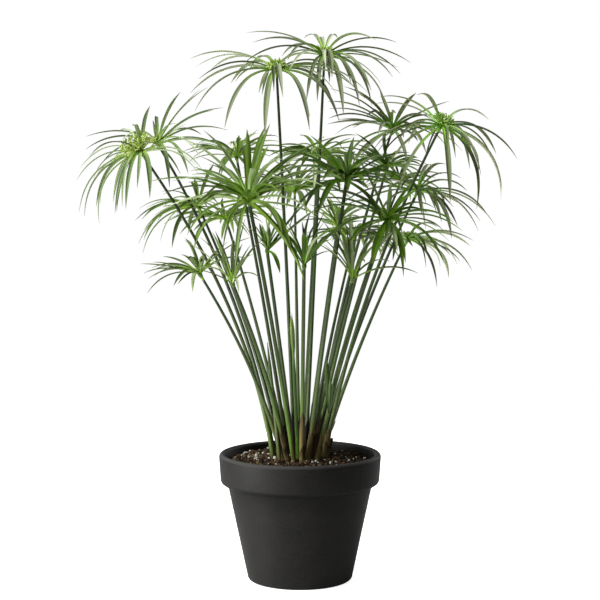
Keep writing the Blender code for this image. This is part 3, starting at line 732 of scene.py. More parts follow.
# Peat has splashed up and dried on the feet of the culms, in flecks of 3 by 10 mm.
splash = add_node(
    tree, "TexNoise",
    {"Vector": add_node(
        tree, "VectorMath", {0: in_mm, 1: (0.34, 0.34, 0.1)}, operation="MULTIPLY").outputs[0],
     "Scale": 1.0, "Detail": 5, "Roughness": 0.65})
splashed = add_node(
    tree, "Math",
    {0: add_node(
        tree, "MapRange",
        {"Value": splash.outputs["Fac"], "From Min": 0.46, "From Max": 0.62, "To Max": 0.85}).outputs[0],
     1: add_node(
        tree, "MapRange",
        {"Value": height, "From Min": 122, "From Max": 172, "To Min": 1, "To Max": 0}).outputs[0]},
    operation="MULTIPLY")
soiled = add_node(
    tree, "Mix",
    {"Factor": splashed.outputs[0], "A": patched.outputs["Result"], "B": colour("#3b2f1a")},
    data_type="RGBA")
stem_green = add_node(
    tree, "VectorMath", {0: soiled.outputs["Result"], "Scale": depth.outputs[0]}, operation="SCALE")
tree.links.new(stem_green.outputs[0], shader.inputs["Base Color"])
bump = add_node(
    tree, "Bump", {"Height": ribs.outputs["Fac"], "Strength": 0.4, "Distance": 0.2 * MM})
tree.links.new(bump.outputs[0], shader.inputs["Normal"])

# The culms that stay stout up to the whorl.
STOUT = (12, 13, 16, 17, 18, 19, 22)
STOUT_TOP = 1.6 * MM
# The culms that are still fresh down to the foot.
FRESH = {8: 0.85, 13: 0.9, 16: 0.9, 20: 1.0, 12: 0.75}

hubs = [as_seen(head.across * MM, head.up * MM, head.back * MM) for head in HEADS]
culms, shoots = lay_out_culms(hubs)
for i, (foot, shoulder, hub) in enumerate(culms, 1):
    lean = (hub - shoulder).normalized()
    end = hub - lean * (HUB_HEIGHT / 2)
    top = STOUT_TOP if i in STOUT else CULM_TOP
    radii = [CULM_FOOT + (top - CULM_FOOT) * (step / 8) ** 0.8 for step in range(9)]
    points, faces, places, tones = skin(
        stem_rings((foot, shoulder, end), radii), FRESH.get(i, 0.8 * scatter(i * 7)))
    add_piece(
        f"culm_{i:02}_rind", points, faces, rind, "culm", (f"culm_{i:02}",),
        {"blade": places, "tone": tones})


# Base sheaths
#
# Each culm's foot stands in the remains of one or two leafless sheaths: papery tubes that have
# dried from green to brown and split, each with a slanting top and a point on one side.

old_sheath, tree, shader, in_mm = new_material("dry_sheath", 1.4, 0.7, 0.25)
# Dry sheath is straw to dark brown with long darker veins, and darkest where it is torn.
place = add_node(tree, "UVMap", uv_map="blade").outputs[0]
tone = add_node(tree, "SeparateXYZ", {0: add_node(tree, "UVMap", uv_map="tone").outputs[0]})
veins = add_node(
    tree, "TexNoise",
    {"Vector": add_node(
        tree, "VectorMath", {0: place, 1: (16, 1.6, 1)}, operation="MULTIPLY").outputs[0],
     "Scale": 1.0, "Detail": 4})
along = add_node(tree, "SeparateXYZ", {0: place}).outputs["Y"]
# The tone is how dark the sheath is, with the painted shade in the middle of the clump.
darkness = add_node(
    tree, "Math",
    {0: tone.outputs["X"],
     1: add_node(tree, "MapRange", {"Value": along, "To Min": -0.12, "To Max": 0.3}).outputs[0]},
    operation="ADD")
spread = add_node(
    tree, "Math",
    {0: darkness.outputs[0],
     1: add_node(
         tree, "MapRange", {"Value": veins.outputs["Fac"], "To Min": -0.3, "To Max": 0.3}).outputs[0]},
    operation="ADD")
colour_ramp = add_node(
    tree, "ValToRGB", {"Fac": spread.outputs[0]},
    stops=(
        (0.0, colour("#66703a")), (0.3, colour("#6d653a")), (0.5, colour("#5f5231")),
        (0.72, colour("#33281a")), (1.0, colour("#120d08"))))
tree.links.new(colour_ramp.outputs[0], shader.inputs["Base Color"])
bump = add_node(
    tree, "Bump", {"Height": veins.outputs["Fac"], "Strength": 0.5, "Distance": 0.25 * MM})
tree.links.new(bump.outputs[0], shader.inputs["Normal"])


def sheath(route, radius, height, facing, flare, tone):
    """A split tube of dry sheath round a culm's foot, its top slanting up to a point at facing."""
    foot, shoulder, end = route
    rows, width = 9, 15
    points, faces, places = [], [], []
    length = (end - foot).length
    for shell in (0, 1):
        for i in range(rows + 1):
            for j in range(width + 1):
                turn = (j / width - 0.5) * math.radians(350)
                top = height * (1 - 0.55 * (abs(turn) / math.pi) ** 1.3)
                rise = top * i / rows
                centre = parabola(foot, shoulder, end, rise / length)
                if i == 0:
                    centre = foot - Vector((0, 0, 4 * MM))
                out = radius - shell * 0.22 * MM
                out += flare * (i / rows) ** 3 + 0.25 * MM * noise.noise(
                    Vector((turn * 2, rise / (9 * MM), tone * 40)))
                angle = facing + turn
                points.append(centre + Vector((math.cos(angle), math.sin(angle), 0)) * out)
    sheet = (rows + 1) * (width + 1)

    def corner(shell, i, j):
        return shell * sheet + i * (width + 1) + j

    for shell in (0, 1):
        for i in range(rows):
            for j in range(width):
                square = [(i, j), (i, j + 1), (i + 1, j + 1), (i + 1, j)]
                if shell:
                    square.reverse()
                faces.append(tuple(corner(shell, a, b) for a, b in square))
                places += [(b / width, a / rows) for a, b in square]
    rim = [(0, j) for j in range(width + 1)] + [(i, width) for i in range(1, rows + 1)]
    rim += [(rows, j) for j in range(width - 1, -1, -1)] + [(i, 0) for i in range(rows - 1, 0, -1)]
    for one, other in zip(rim, rim[1:] + rim[:1]):
        faces.append((corner(1, *one), corner(1, *other), corner(0, *other), corner(0, *one)))
        places += [(b / width, a / rows) for a, b in (one, other, other, one)]
    return points, faces, places, [(tone, 0)] * len(places)


def blade_rings(route, width, twist, sway, sections=16):
    """Rings of eight points along a bract: the folded upper face, and the keeled lower one."""
    hub, _, tip = route
    level = Vector((hub.y - tip.y, tip.x - hub.x, 0)).normalized()
    rows = []
    for i in range(sections + 1):
        t = (i / sections) ** 0.9
        along = (parabola(*route, t + 0.01) - parabola(*route, t - 0.01)).normalized()
        side = Matrix.Rotation(twist * t, 3, along) @ level
        over = along.cross(side)
        centre = parabola(*route, t) + side * (sway * math.sin(math.pi * t) * t)
        swell = min(1, t / 0.42)
        broad = 0.55 + 0.45 * swell * swell * (3 - 2 * swell)
        taper = 1 if t < 0.6 else 1 - ((t - 0.6) / 0.4) ** 2.1
        half = max(0.12 * MM, width / 2 * broad * taper)
        fold = math.radians(54 - 22 * min(1, t / 0.3) - 10 * t)
        out, up = half * math.cos(fold), half * math.sin(fold)
        thick = 0.32 * MM * (1 - 0.7 * t)
        section = (
            (-out, up), (-out * 0.5, up * 0.38), (0, 0), (out * 0.5, up * 0.38), (out, up),
            (out * 0.5, up * 0.38 - thick * 0.8), (0, -thick * 1.7), (-out * 0.5, up * 0.38 - thick * 0.8),
        )
        rows.append([centre + side * across + over * rise for across, rise in section])
    return rows


def blade(route, width, twist, sway, tone):
    """A bract as (points, faces, places, tones). A place is across and along; tone's second value is 1 beneath."""
    rows = blade_rings(route, width, twist, sway)
    count = len(rows)
    points = [point for row in rows for point in row]
    across = (0, 0.25, 0.5, 0.75, 1, 0.75, 0.5, 0.25)
    faces, places, tones = [], [], []
    for i in range(count - 1):
        for j in range(8):
            k = (j + 1) % 8
            faces.append((i * 8 + j, (i + 1) * 8 + j, (i + 1) * 8 + k, i * 8 + k))
            low, high = i / (count - 1), (i + 1) / (count - 1)
            places += [(across[j], low), (across[j], high), (across[k], high), (across[k], low)]
            tones += [(tone, 0 if j < 4 else 1)] * 4
    faces.append(tuple(range(8)))
    faces.append(tuple((count - 1) * 8 + j for j in reversed(range(8))))
    places += [(0.5, 0)] * 8 + [(0.5, 1)] * 8
    tones += [(tone, 0)] * 16
    return points, faces, places, tones


def joined(parts):
    """Several (points, faces, places, tones) as one."""
    points, faces, places, tones = [], [], [], []
    for more_points, more_faces, more_places, more_tones in parts:
        faces += [tuple(len(points) + corner for corner in face) for face in more_faces]
        points += more_points
        places += more_places
        tones += more_tones
    return points, faces, places, tones


# The sheaths that can be told apart: the height of each in millimetres, none where it has
# fallen off, and how dark it is, from 0 for olive to 1 for black.
SEEN_SHEATHS = {
    1: (54, 1.0), 2: (36, 1.0), 3: (0, 0), 4: (0, 0), 5: (34, 0.7), 6: (34, 0.2), 7: (30, 0.5),
    8: (46, 0.16), 9: (38, 0.26), 10: (44, 0.62), 11: (13, 0.25), 12: (60, 0.5), 13: (0, 0),
    14: (50, 0.7), 15: (40, 0.9), 16: (54, 0.36), 17: (54, 0.7), 18: (50, 0.24), 19: (48, 0.42),
    20: (56, 0.66), 22: (52, 0.8), 23: (46, 0.7), 24: (40, 0.9), 25: (44, 0.9),
}


def rot_and_clump_shade_at(foot, chance):
    """How dark a sheath is: rotted by a random amount, and painted darker towards the middle of the clump as
    painted shade.
    """
    inside = 1 - foot.xy.length / CLUMP_RADIUS
    return min(1, max(0, 0.5 + 0.8 * inside + chance.uniform(-0.15, 0.25)))


chance = random.Random(11)
wraps = []
for i, route in enumerate(culms, 1):
    height, darkness = SEEN_SHEATHS.get(i, (chance.uniform(14, 34), rot_and_clump_shade_at(route[0], chance)))
    if height:
        wraps.append(sheath(
            route, CULM_FOOT + 0.3 * MM, height * MM, chance.uniform(0, math.tau),
            chance.uniform(-0.2, 0.5) * MM, darkness))
        wraps.append(sheath(
            route, CULM_FOOT + 0.6 * MM, height * chance.uniform(0.3, 0.6) * MM,
            chance.uniform(0, math.tau), chance.uniform(0, 0.6) * MM, min(1, darkness + 0.08)))
SHREDS = 34
for _ in range(SHREDS):
    number = chance.choice([i for i in range(1, len(culms) + 1) if SEEN_SHEATHS.get(i, (1, 1))[1] > 0.3])
    foot, shoulder, end = culms[number - 1]
    angle = chance.uniform(0, math.tau)
    out = Vector((math.cos(angle), math.sin(angle), 0))
    along = (shoulder - foot).normalized()
    length = chance.uniform(14, 36) * MM
    start = foot + out * (CULM_FOOT + 0.8 * MM) - Vector((0, 0, 3 * MM))
    tip = start + along * length + out * chance.uniform(-0.5, 0.8) * MM
    wraps.append(blade(
        (start, (start + tip) / 2 + out * chance.uniform(-0.3, 0.6) * MM, tip),
        chance.uniform(1.2, 2.6) * MM, chance.uniform(-0.8, 0.8), 0,
        SEEN_SHEATHS.get(number, (0, rot_and_clump_shade_at(foot, chance)))[1]))
points, faces, places, tones = joined(wraps)
add_piece(
    "base_sheaths", points, faces, old_sheath, "dry_sheath",
    maps={"blade": places, "tone": tones})


# Whorls
#
# The umbrella: at the top of each culm a ring of leafy bracts like long grass blades, which
# spring out of one hub, arch and hang. Each has a fold down its middle and a sharp tip.

HUB_RADIUS = 3.4 * MM
BRACT_SECTIONS = ((0.27, 0.92), (0.64, 1.0))
ARCH_WHEN_LEVEL = 0.135
ARCH_LOST_PER_DEGREE = 0.0013
SHORTEST_BRACT = 0.82
RISE_SPREAD = math.radians(26)
WHORL_TILT = 0.6

# The room that a bract keeps, from its middle line, and the turns that may give it that room.
CLEAR_OF_BRACT = 4.5 * MM
CLEAR_OF_CULM = 4.4 * MM
CLEAR_OF_SISTER = 2.6 * MM
CLEAR_OF_HUB = 7.5 * MM
NEAR_HUB = 16 * MM
NARROWEST_TURN = math.radians(7)
TRIAL_TURN = math.radians(1.5)
TRIAL_TURNS = 16


def bract_route(hub, tip):
    """The three guides of a bract's arch: it lies in an upright plane and bends down by its weight."""
    chord = tip - hub
    rise = math.atan2(chord.z, chord.xy.length)
    arch = (ARCH_WHEN_LEVEL - ARCH_LOST_PER_DEGREE * math.degrees(rise)) * chord.length
    outward = Vector((chord.x, chord.y, 0)).normalized()
    lift = Vector((0, 0, 1)) * math.cos(rise) - outward * math.sin(rise)
    return hub, hub + chord / 2 + lift * (2 * arch), tip


def turned(hub, tip, angle):
    return hub + Matrix.Rotation(angle, 3, "Z") @ (tip - hub)


def heading(hub, tip):
    return math.atan2(tip.y - hub.y, tip.x - hub.x)


def listed_tips(head):
    """The tips that the head lists, each set forward or back until its bract has its length."""
    tips = []
    for across, up, turn in head.bracts:
        most = math.sqrt(max(head.reach ** 2 - across ** 2 - up ** 2, (head.reach / 7) ** 2))
        back = head.back + turn * most
        tips.append(as_seen((head.across + across) * MM, (head.up + up) * MM, back * MM))
    return tips


def added_tip(head, culm, angle, number):
    """A tip at a free angle. The whorl tilts with its culm, so bracts on the culm's side are higher."""
    _, shoulder, hub = culm
    lean = hub - shoulder
    tilt = math.atan2(lean.xy.length, lean.z) * WHORL_TILT
    tilt *= math.cos(angle - math.atan2(lean.y, lean.x))
    length = head.reach * MM * (SHORTEST_BRACT + (1 - SHORTEST_BRACT) * scatter(number))
    rise = math.radians(head.rise) + RISE_SPREAD * (scatter(number, math.sqrt(3)) - 0.5) - tilt
    flat = length * math.cos(rise)
    return hub + Vector((flat * math.cos(angle), flat * math.sin(angle), length * math.sin(rise)))


def ease_apart(tips, hub):
    """The tips, in order round the hub, turned until no two bracts leave it side by side."""
    for _ in range(30):
        tips = sorted(tips, key=lambda tip: heading(hub, tip))
        for i in range(len(tips)):
            gap = (heading(hub, tips[i]) - heading(hub, tips[i - 1])) % math.tau
            lack = NARROWEST_TURN - gap
            if lack > 0:
                tips[i - 1] = turned(hub, tips[i - 1], -lack / 2)
                tips[i] = turned(hub, tips[i], lack / 2)
    return tips


def whorl_tips(head, culm):
    """All the tips of a whorl: those listed, and then one more in the widest gap until it is full."""
    hub = culm[2]
    tips = ease_apart(listed_tips(head) or [added_tip(head, culm, head.across, 0)], hub)
    while len(tips) < head.count:
        tips.sort(key=lambda tip: heading(hub, tip))
        angles = [heading(hub, tip) for tip in tips]
        gaps = [(angle - angles[i - 1]) % math.tau or math.tau for i, angle in enumerate(angles)]
        widest = gaps.index(max(gaps))
        middle = angles[widest] - gaps[widest] / 2
        tips.append(added_tip(head, culm, middle, len(tips) + head.up))
    return sorted(tips, key=lambda tip: heading(hub, tip))


def stem_line(route):
    """Points close together along a culm's straight runs."""
    corners = [parabola(*route, i / CULM_RUNS) for i in range(CULM_RUNS + 1)]
    return np.concatenate([np.linspace(*run, 30) for run in zip(corners, corners[1:])])


def bract_line(route):
    """Points close together along the straight runs between a bract's sections."""
    hub, _, tip = route
    corners = [hub, *(parabola(*route, t) for t, _ in BRACT_SECTIONS), tip]
    return np.concatenate([np.linspace(*run, 15) for run in zip(corners, corners[1:])])


def beyond(points, hub, distance):
    return points[np.linalg.norm(points - np.array(hub), axis=1) > distance]


def spare_room(points, hub, others):
    """How much more room a bract has than it needs. others pairs lines of points with the room to keep."""
    spare = 1
    for lines, keep in others:
        own = beyond(points, hub, NEAR_HUB) if keep == CLEAR_OF_SISTER else points
        if len(lines):
            apart = np.linalg.norm(own[:, None] - lines[None], axis=2).min()
            spare = min(spare, apart - keep)
    return spare


def settle(hub, tip, others):
    """The tip turned about its hub, by as little as gives its bract room among the others."""
    turns = sorted(range(-TRIAL_TURNS, TRIAL_TURNS + 1), key=abs)
    best_spare, best = -1, tip
    for turn in turns:
        moved = turned(hub, tip, turn * TRIAL_TURN)
        spare = spare_room(bract_line(bract_route(hub, moved)), hub, others)
        if spare > best_spare:
            best_spare, best = spare, moved
        if spare >= 0:
            break
    return best


def lay_out_whorls(hubs, culms, shoots):
    """The routes of the bracts of each whorl, with no two in each other's way."""
    stems = [stem_line(route) for route in culms + shoots]
    whorls = []
    earlier = np.empty((0, 3))
    for i, (head, hub) in enumerate(zip(HEADS, hubs)):
        other_stems = np.concatenate(stems[:i] + stems[i + 1:] + [beyond(stems[i], hub, 2 * NEAR_HUB)])
        other_hubs = np.array(hubs[:i] + hubs[i + 1:])
        tips = []
        sisters = np.empty((0, 3))
        for tip in whorl_tips(head, culms[i]):
            others = (
                (other_stems, CLEAR_OF_CULM),
                (other_hubs, CLEAR_OF_HUB),
                (earlier, CLEAR_OF_BRACT),
                (sisters, CLEAR_OF_SISTER),
            )
            tips.append(settle(hub, tip, others))
            line = bract_line(bract_route(hub, tips[-1]))
            sisters = np.concatenate([sisters, beyond(line, hub, NEAR_HUB)])
        tips.sort(key=lambda tip: heading(hub, tip))
        whorls.append([bract_route(hub, tip) for tip in tips])
        earlier = np.concatenate([earlier] + [bract_line(route) for route in whorls[-1]])
    return whorls


def bract_skin(name, base, middle, end, beneath, painted_sheen_colour):
    """The skin of living bracts, in the colours from their base to their tip."""
    made, tree, shader, in_mm = new_material(name, 1.42, 0.42, 0.28)
    place = add_node(tree, "UVMap", uv_map="blade").outputs[0]
    marks = add_node(tree, "SeparateXYZ", {0: add_node(tree, "UVMap", uv_map="tone").outputs[0]})
    spot = add_node(tree, "SeparateXYZ", {0: place})
    upper = add_node(
        tree, "ValToRGB", {"Fac": spot.outputs["Y"]},
        stops=(
            (0.0, colour(base)), (0.14, colour(base)), (0.45, colour(middle)), (0.75, colour(middle)),
            (1.0, colour(end))))
    past_base = add_node(
        tree, "MapRange", {"Value": spot.outputs["Y"], "From Min": 0.14, "From Max": 0.45})
    turned_over = add_node(
        tree, "Math", {0: marks.outputs["Y"], 1: past_base.outputs[0]}, operation="MULTIPLY")
    faced = add_node(
        tree, "Mix", {"Factor": turned_over.outputs[0], "A": upper.outputs[0], "B": colour(beneath)},
        data_type="RGBA")
    # Parallel veins run the length of the blade, drawn 0.7 mm apart, and the midrib is paler.
    vein = add_node(
        tree, "TexNoise",
        {"Vector": add_node(
            tree, "VectorMath", {0: place, 1: (7, 0.9, 1)}, operation="MULTIPLY").outputs[0],
         "Scale": 1.0, "Detail": 3})
    off_middle = add_node(
        tree, "Math",
        {0: add_node(
            tree, "Math", {0: spot.outputs["X"], 1: 0.5}, operation="SUBTRACT").outputs[0]},
        operation="ABSOLUTE")
    midrib = add_node(
        tree, "MapRange",
        {"Value": off_middle.outputs[0], "From Min": 0.0, "From Max": 0.13, "To Min": 1.35, "To Max": 1.0})
    streaks = add_node(
        tree, "MapRange",
        {"Value": vein.outputs["Fac"], "From Min": 0.3, "From Max": 0.7, "To Min": 0.72, "To Max": 1.28})
    # Blades differ: most are deep green and a few are dark. The palest are mixed towards a pale
    # grey-green, a painted sheen that stands for the white room's reflection.
    own = add_node(
        tree, "MapRange", {"Value": marks.outputs["X"], "To Min": 0.42, "To Max": 1.56})
    painted_sheen = add_node(
        tree, "MapRange",
        {"Value": marks.outputs["X"], "From Min": 0.65, "From Max": 1.0, "To Min": 0.0, "To Max": 0.52})
    with_painted_sheen = add_node(
        tree, "Mix",
        {"Factor": painted_sheen.outputs[0], "A": faced.outputs["Result"], "B": colour(painted_sheen_colour)}, data_type="RGBA")
    depth = add_node(
        tree, "Math",
        {0: add_node(
            tree, "Math", {0: streaks.outputs[0], 1: midrib.outputs[0]}, operation="MULTIPLY").outputs[0],
         1: own.outputs[0]}, operation="MULTIPLY")
    lit = add_node(
        tree, "VectorMath", {0: with_painted_sheen.outputs["Result"], "Scale": depth.outputs[0]}, operation="SCALE")
    tree.links.new(lit.outputs[0], shader.inputs["Base Color"])
    bump = add_node(
        tree, "Bump", {"Height": vein.outputs["Fac"], "Strength": 0.35, "Distance": 0.2 * MM})
    tree.links.new(bump.outputs[0], shader.inputs["Normal"])
    return made


def hub_rings(hub, axis):
    """The short swollen top of a culm, out of which the bracts grow."""
    turn = Vector((0, 0, 1)).rotation_difference(axis)
    rows = []
    for along, radius in ((-7, 1.15), (-4.5, 1.3), (-2.5, 1.7), (-1, 2.1), (0.5, 2.2), (2, 1.8), (3.5, 0.8)):
        ring = []
        for i in range(10):
            angle = math.tau * i / 10
            ring.append(hub + turn @ (Vector((
                radius * math.cos(angle), radius * math.sin(angle), along)) * MM))
        rows.append(ring)
    return rows


# The skins are lit and shaded copies of one bract colour: paler and greyer for the heads that
# stand clear in the light, as painted light, and darker for those in the thick of the clump, as
# painted shade. Each skin: its colour at the base, the middle and the tip, beneath, and its
# painted sheen.
SKINS = {
    "high": bract_skin(
        "bract_of_high_heads", "#84ac3a", "#788460", "#7c7c62", "#94a670", "#c8c9b8"),
    "left": bract_skin(
        "bract_of_left_heads", "#98bc4a", "#768f58", "#7a8560", "#90a66a", "#ccd4b6"),
    "right": bract_skin(
        "bract_of_right_heads", "#84bc34", "#6b774e", "#737258", "#82925a", "#c2c4b2"),
    "front": bract_skin(
        "bract_of_front_heads", "#92bc30", "#597824", "#637032", "#7a9e36", "#c2c8ac"),
    "low": bract_skin(
        "bract_of_low_heads", "#92bc30", "#566a36", "#5e6844", "#728a48", "#b8bea2"),
    "deep": bract_skin(
        "bract_of_deep_heads", "#6c9c14", "#425f16", "#4c5c1c", "#5c8420", "#b2b896"),
}

# For each head: its skin, how much broader than their solids its bracts are, and how many
# younger ones stand between them.
FULLNESS = {
    1: ("high", 1.3, 6), 2: ("high", 1.3, 7), 3: ("left", 1.0, 9), 4: ("left", 1.05, 7),
    5: ("right", 1.25, 13), 6: ("right", 1.15, 9), 7: ("right", 1.4, 14), 8: ("deep", 1.15, 18),
    9: ("right", 1.45, 13), 10: ("front", 1.25, 22), 11: ("low", 1.05, 10), 12: ("low", 0.8, 10),
    13: ("front", 1.3, 32), 14: ("front", 1.4, 24), 15: ("front", 1.3, 28), 16: ("deep", 0.9, 9),
    17: ("deep", 0.9, 10), 18: ("deep", 1.3, 27), 19: ("low", 0.8, 10), 20: ("deep", 1.5, 22),
    21: ("deep", 1.45, 18), 22: ("front", 1.45, 20), 23: ("front", 1.45, 24), 24: ("front", 1.5, 36),
    25: ("deep", 1.5, 28),
}

# The blades that stand out: the place of the tip from the hub and its turn, as in HEADS, and
# then the breadth in millimetres, the tone, from 0 for dark to 1 for pale with a painted sheen
# above 0.65, and how much of its arch it keeps: the young ones are still stiff and straight.
Blade = namedtuple("Blade", "across up turn breadth tone arch", defaults=(1.0,))

STANDING_OUT = {
    1: (Blade(-11, -62, -1, 6.2, 0.6), Blade(-49, -54, -1, 5.2, 0.45), Blade(31, -56, -1, 5.2, 0.5)),
    2: (Blade(18, -55, -1, 5.4, 0.6), Blade(-17, -42, -0.8, 4.4, 0.5), Blade(33, -46, -1, 4.6, 0.4)),
    3: (Blade(8, -43, -1, 5.6, 0.5), Blade(-12, -53, -1, 4.2, 0.4), Blade(-11, 25, -1, 4.6, 0.45)),
    4: (Blade(9, -41, -1, 4.6, 0.5), Blade(29, -28, -1, 4.4, 0.55), Blade(66, 13, -0.4, 4.6, 0.35)),
    5: (Blade(20, 35, -0.5, 5.6, 0.4, 0.4), Blade(37, 10, -1, 5.4, 0.35), Blade(-36, -31, -0.7, 5.2, 0.7, 0.4),
        Blade(-48, -44, -0.6, 4.8, 0.6), Blade(17, -33, -0.7, 5.2, 0.8, 0.5), Blade(-12, 37, 0.3, 4.2, 0.5),
        Blade(52, 25, -0.2, 5.6, 0.35, 0.4), Blade(-32, 34, -0.3, 5.0, 0.3), Blade(-24, -26, -0.5, 5.2, 0.6, 0.3),
        Blade(-60, 20, 0.2, 4.2, 0.3), Blade(1, 17, 1, 2.2, 0.6)),
    6: (Blade(9, -72, -1, 5.6, 0.55), Blade(34, -78, -0.8, 5.0, 0.4), Blade(-50, -36, -0.9, 4.8, 0.5, 0.5),
        Blade(-38, -58, -0.8, 5.0, 0.6, 0.5)),
    7: (Blade(27, 26, -0.8, 5.0, 0.3), Blade(44, 3, -0.8, 4.8, 0.4), Blade(-30, 20, 0.2, 4.4, 0.3),
        Blade(-38, -26, -0.6, 4.6, 0.5)),
    8: (Blade(-29, 60, 0, 6.4, 0.3, 0.3), Blade(33, 24, -0.4, 5.4, 0.6, 0.4), Blade(-36, -21, -0.9, 5.0, 0.5, 0.6),
        Blade(-15, -42, -1, 8.2, 0.6, 0.3), Blade(17, -40, -0.9, 5.0, 0.6, 0.6),
        Blade(22, 35, -0.3, 5.0, 0.4, 0.4),
        Blade(2, 34, -0.3, 4.6, 0.8)),
    13: (Blade(-43, 68, 0.3, 5.6, 0.75), Blade(-59, 59, 0.4, 5.6, 0.9), Blade(-2, 69, -0.6, 5.8, 0.2),
         Blade(20, 74, 0.6, 6.4, 0.3), Blade(18, 53, -1, 4.2, 0.6), Blade(31, 41, -0.9, 6.4, 0.95),
         Blade(35, 29, -0.8, 2.6, 0.8), Blade(30, 23, -1, 2.6, 0.9), Blade(81, 8, 1, 3.0, 0.9), Blade(60, 22, -0.2, 4.6, 0.9),
         Blade(46, 38, 0.2, 4.8, 0.5, 0.5), Blade(-48, 22, -0.3, 4.6, 0.3, 0.4),
         Blade(63, -14, -0.7, 5.4, 0.85), Blade(65, -13, -0.3, 5.0, 0.75, 0.35), Blade(52, -74, -0.8, 12.5, 0.45, 0.35), Blade(31, -30, -0.95, 7.4, 0.7, 0.8),
         Blade(40, -48, -1, 8.6, 0.6, 0.9), Blade(-14, -64, -0.9, 3.8, 0.75), Blade(-61, -31, -0.5, 4.8, 0.5),
         Blade(-52, -43, -0.4, 3.8, 0.7), Blade(-26, -35, -0.9, 2.6, 0.4), Blade(-25, -46, -0.7, 2.4, 0.3),
         Blade(-55, 3, -0.6, 2.8, 0.3), Blade(-56, 30, 0.9, 4.6, 0.35), Blade(-56, 19, -0.4, 4.2, 0.6)),
    10: (Blade(53, -35, 0.4, 3.4, 0.15), Blade(15, 41, 0.6, 4.4, 0.1), Blade(-4, 26, 0.7, 3.6, 0.1)),
    11: (Blade(3, 21, -0.6, 5.2, 0.7, 0.3), Blade(-9, 17, -0.7, 5.0, 0.5, 0.3),
         Blade(-55, 10, 0, 4.4, 0.35, 0.3), Blade(-35, 16, 0.5, 3.8, 0.4, 0.5),
         Blade(-20, 14, -0.5, 4.6, 0.6, 0.4), Blade(-48, -4, 0.2, 3.0, 0.3)),
    12: (Blade(-19, 49, -0.3, 7.4, 0.5, 0.3), Blade(17, 37, 0.6, 2.6, 0.4, 0.4),
         Blade(8, 22, -0.4, 4.0, 0.7, 0.3)),
    15: (Blade(21, -34, -0.9, 7.0, 0.3), Blade(-4, -33, -1, 4.8, 0.98), Blade(-34, -14, -0.8, 4.8, 0.95),
         Blade(-32, 2, -0.6, 5.0, 0.8), Blade(-30, -22, 0.8, 4.0, 0.9), Blade(30, 4, 0.8, 2.6, 0.3)),
    16: (Blade(25, 25, -0.7, 6.4, 0.35), Blade(38, 41, 0, 7.4, 0.25, 0.4), Blade(1, 35, 1, 5.0, 0.2)),
    17: (Blade(48, 41, 0.2, 8.6, 0.3, 0.2), Blade(39, 48, 0.5, 7.0, 0.4, 0.3),
         Blade(12, -21, -0.7, 5.2, 0.6)),
    18: (Blade(-54, -45, -0.5, 8.4, 0.2), Blade(-26, -31, -1, 6.4, 0.3), Blade(-34, 43, -0.2, 7.0, 0.4, 0.4),
         Blade(7, 42, 0.2, 5.4, 0.3), Blade(-3, 27, -0.5, 4.2, 0.9), Blade(-40, -28, -0.8, 6.4, 0.1),
         Blade(62, 18, -0.2, 4.8, 0.6, 0.6), Blade(35, -38, -0.6, 6.6, 0.4, 0.5)),
    22: (Blade(-38, -35, -0.7, 6.4, 0.7, 0.5), Blade(10, -32, -0.8, 4.8, 0.7, 0.6),
         Blade(-24, 12, -0.5, 5.0, 0.6)),
    19: (Blade(27, 38, -0.4, 6.6, 0.6), Blade(-18, 36, 0.5, 4.2, 0.3), Blade(-11, 43, -0.4, 4.2, 0.5)),
}


def place_seen(point):
    """How far across and up a point is seen, in millimetres on the plane through the middle."""
    away = -VIEWPOINT.y / (point.y - VIEWPOINT.y)
    on_plane = (VIEWPOINT + (point - VIEWPOINT) * away) / MM
    return on_plane.x, on_plane.z


def blade_at(head, tip, blades):
    """Which of the blades that stand out has its tip here, if any does."""
    across, up = place_seen(tip)
    near = [blade for blade in blades if math.hypot(
        across - head.across - blade.across, up - head.up - blade.up) < 7]
    return near[0] if near else None


def stiffened(route, arch):
    """The route with only this share of its arch."""
    start, middle, end = route
    return start, ((start + end) / 2).lerp(middle, arch), end


def within_solids(tip):
    """The tip, drawn in until it lies inside the solid model's box."""
    low, high = solid_box
    return Vector(max(a + 6 * MM, min(b - 6 * MM, value)) for a, b, value in zip(low, high, tip))


def held_in(points):
    """The points, each moved the last hair's breadth into the solid model's box."""
    low, high = solid_box
    return [Vector(max(a, min(b, value)) for a, b, value in zip(low, high, point)) for point in points]


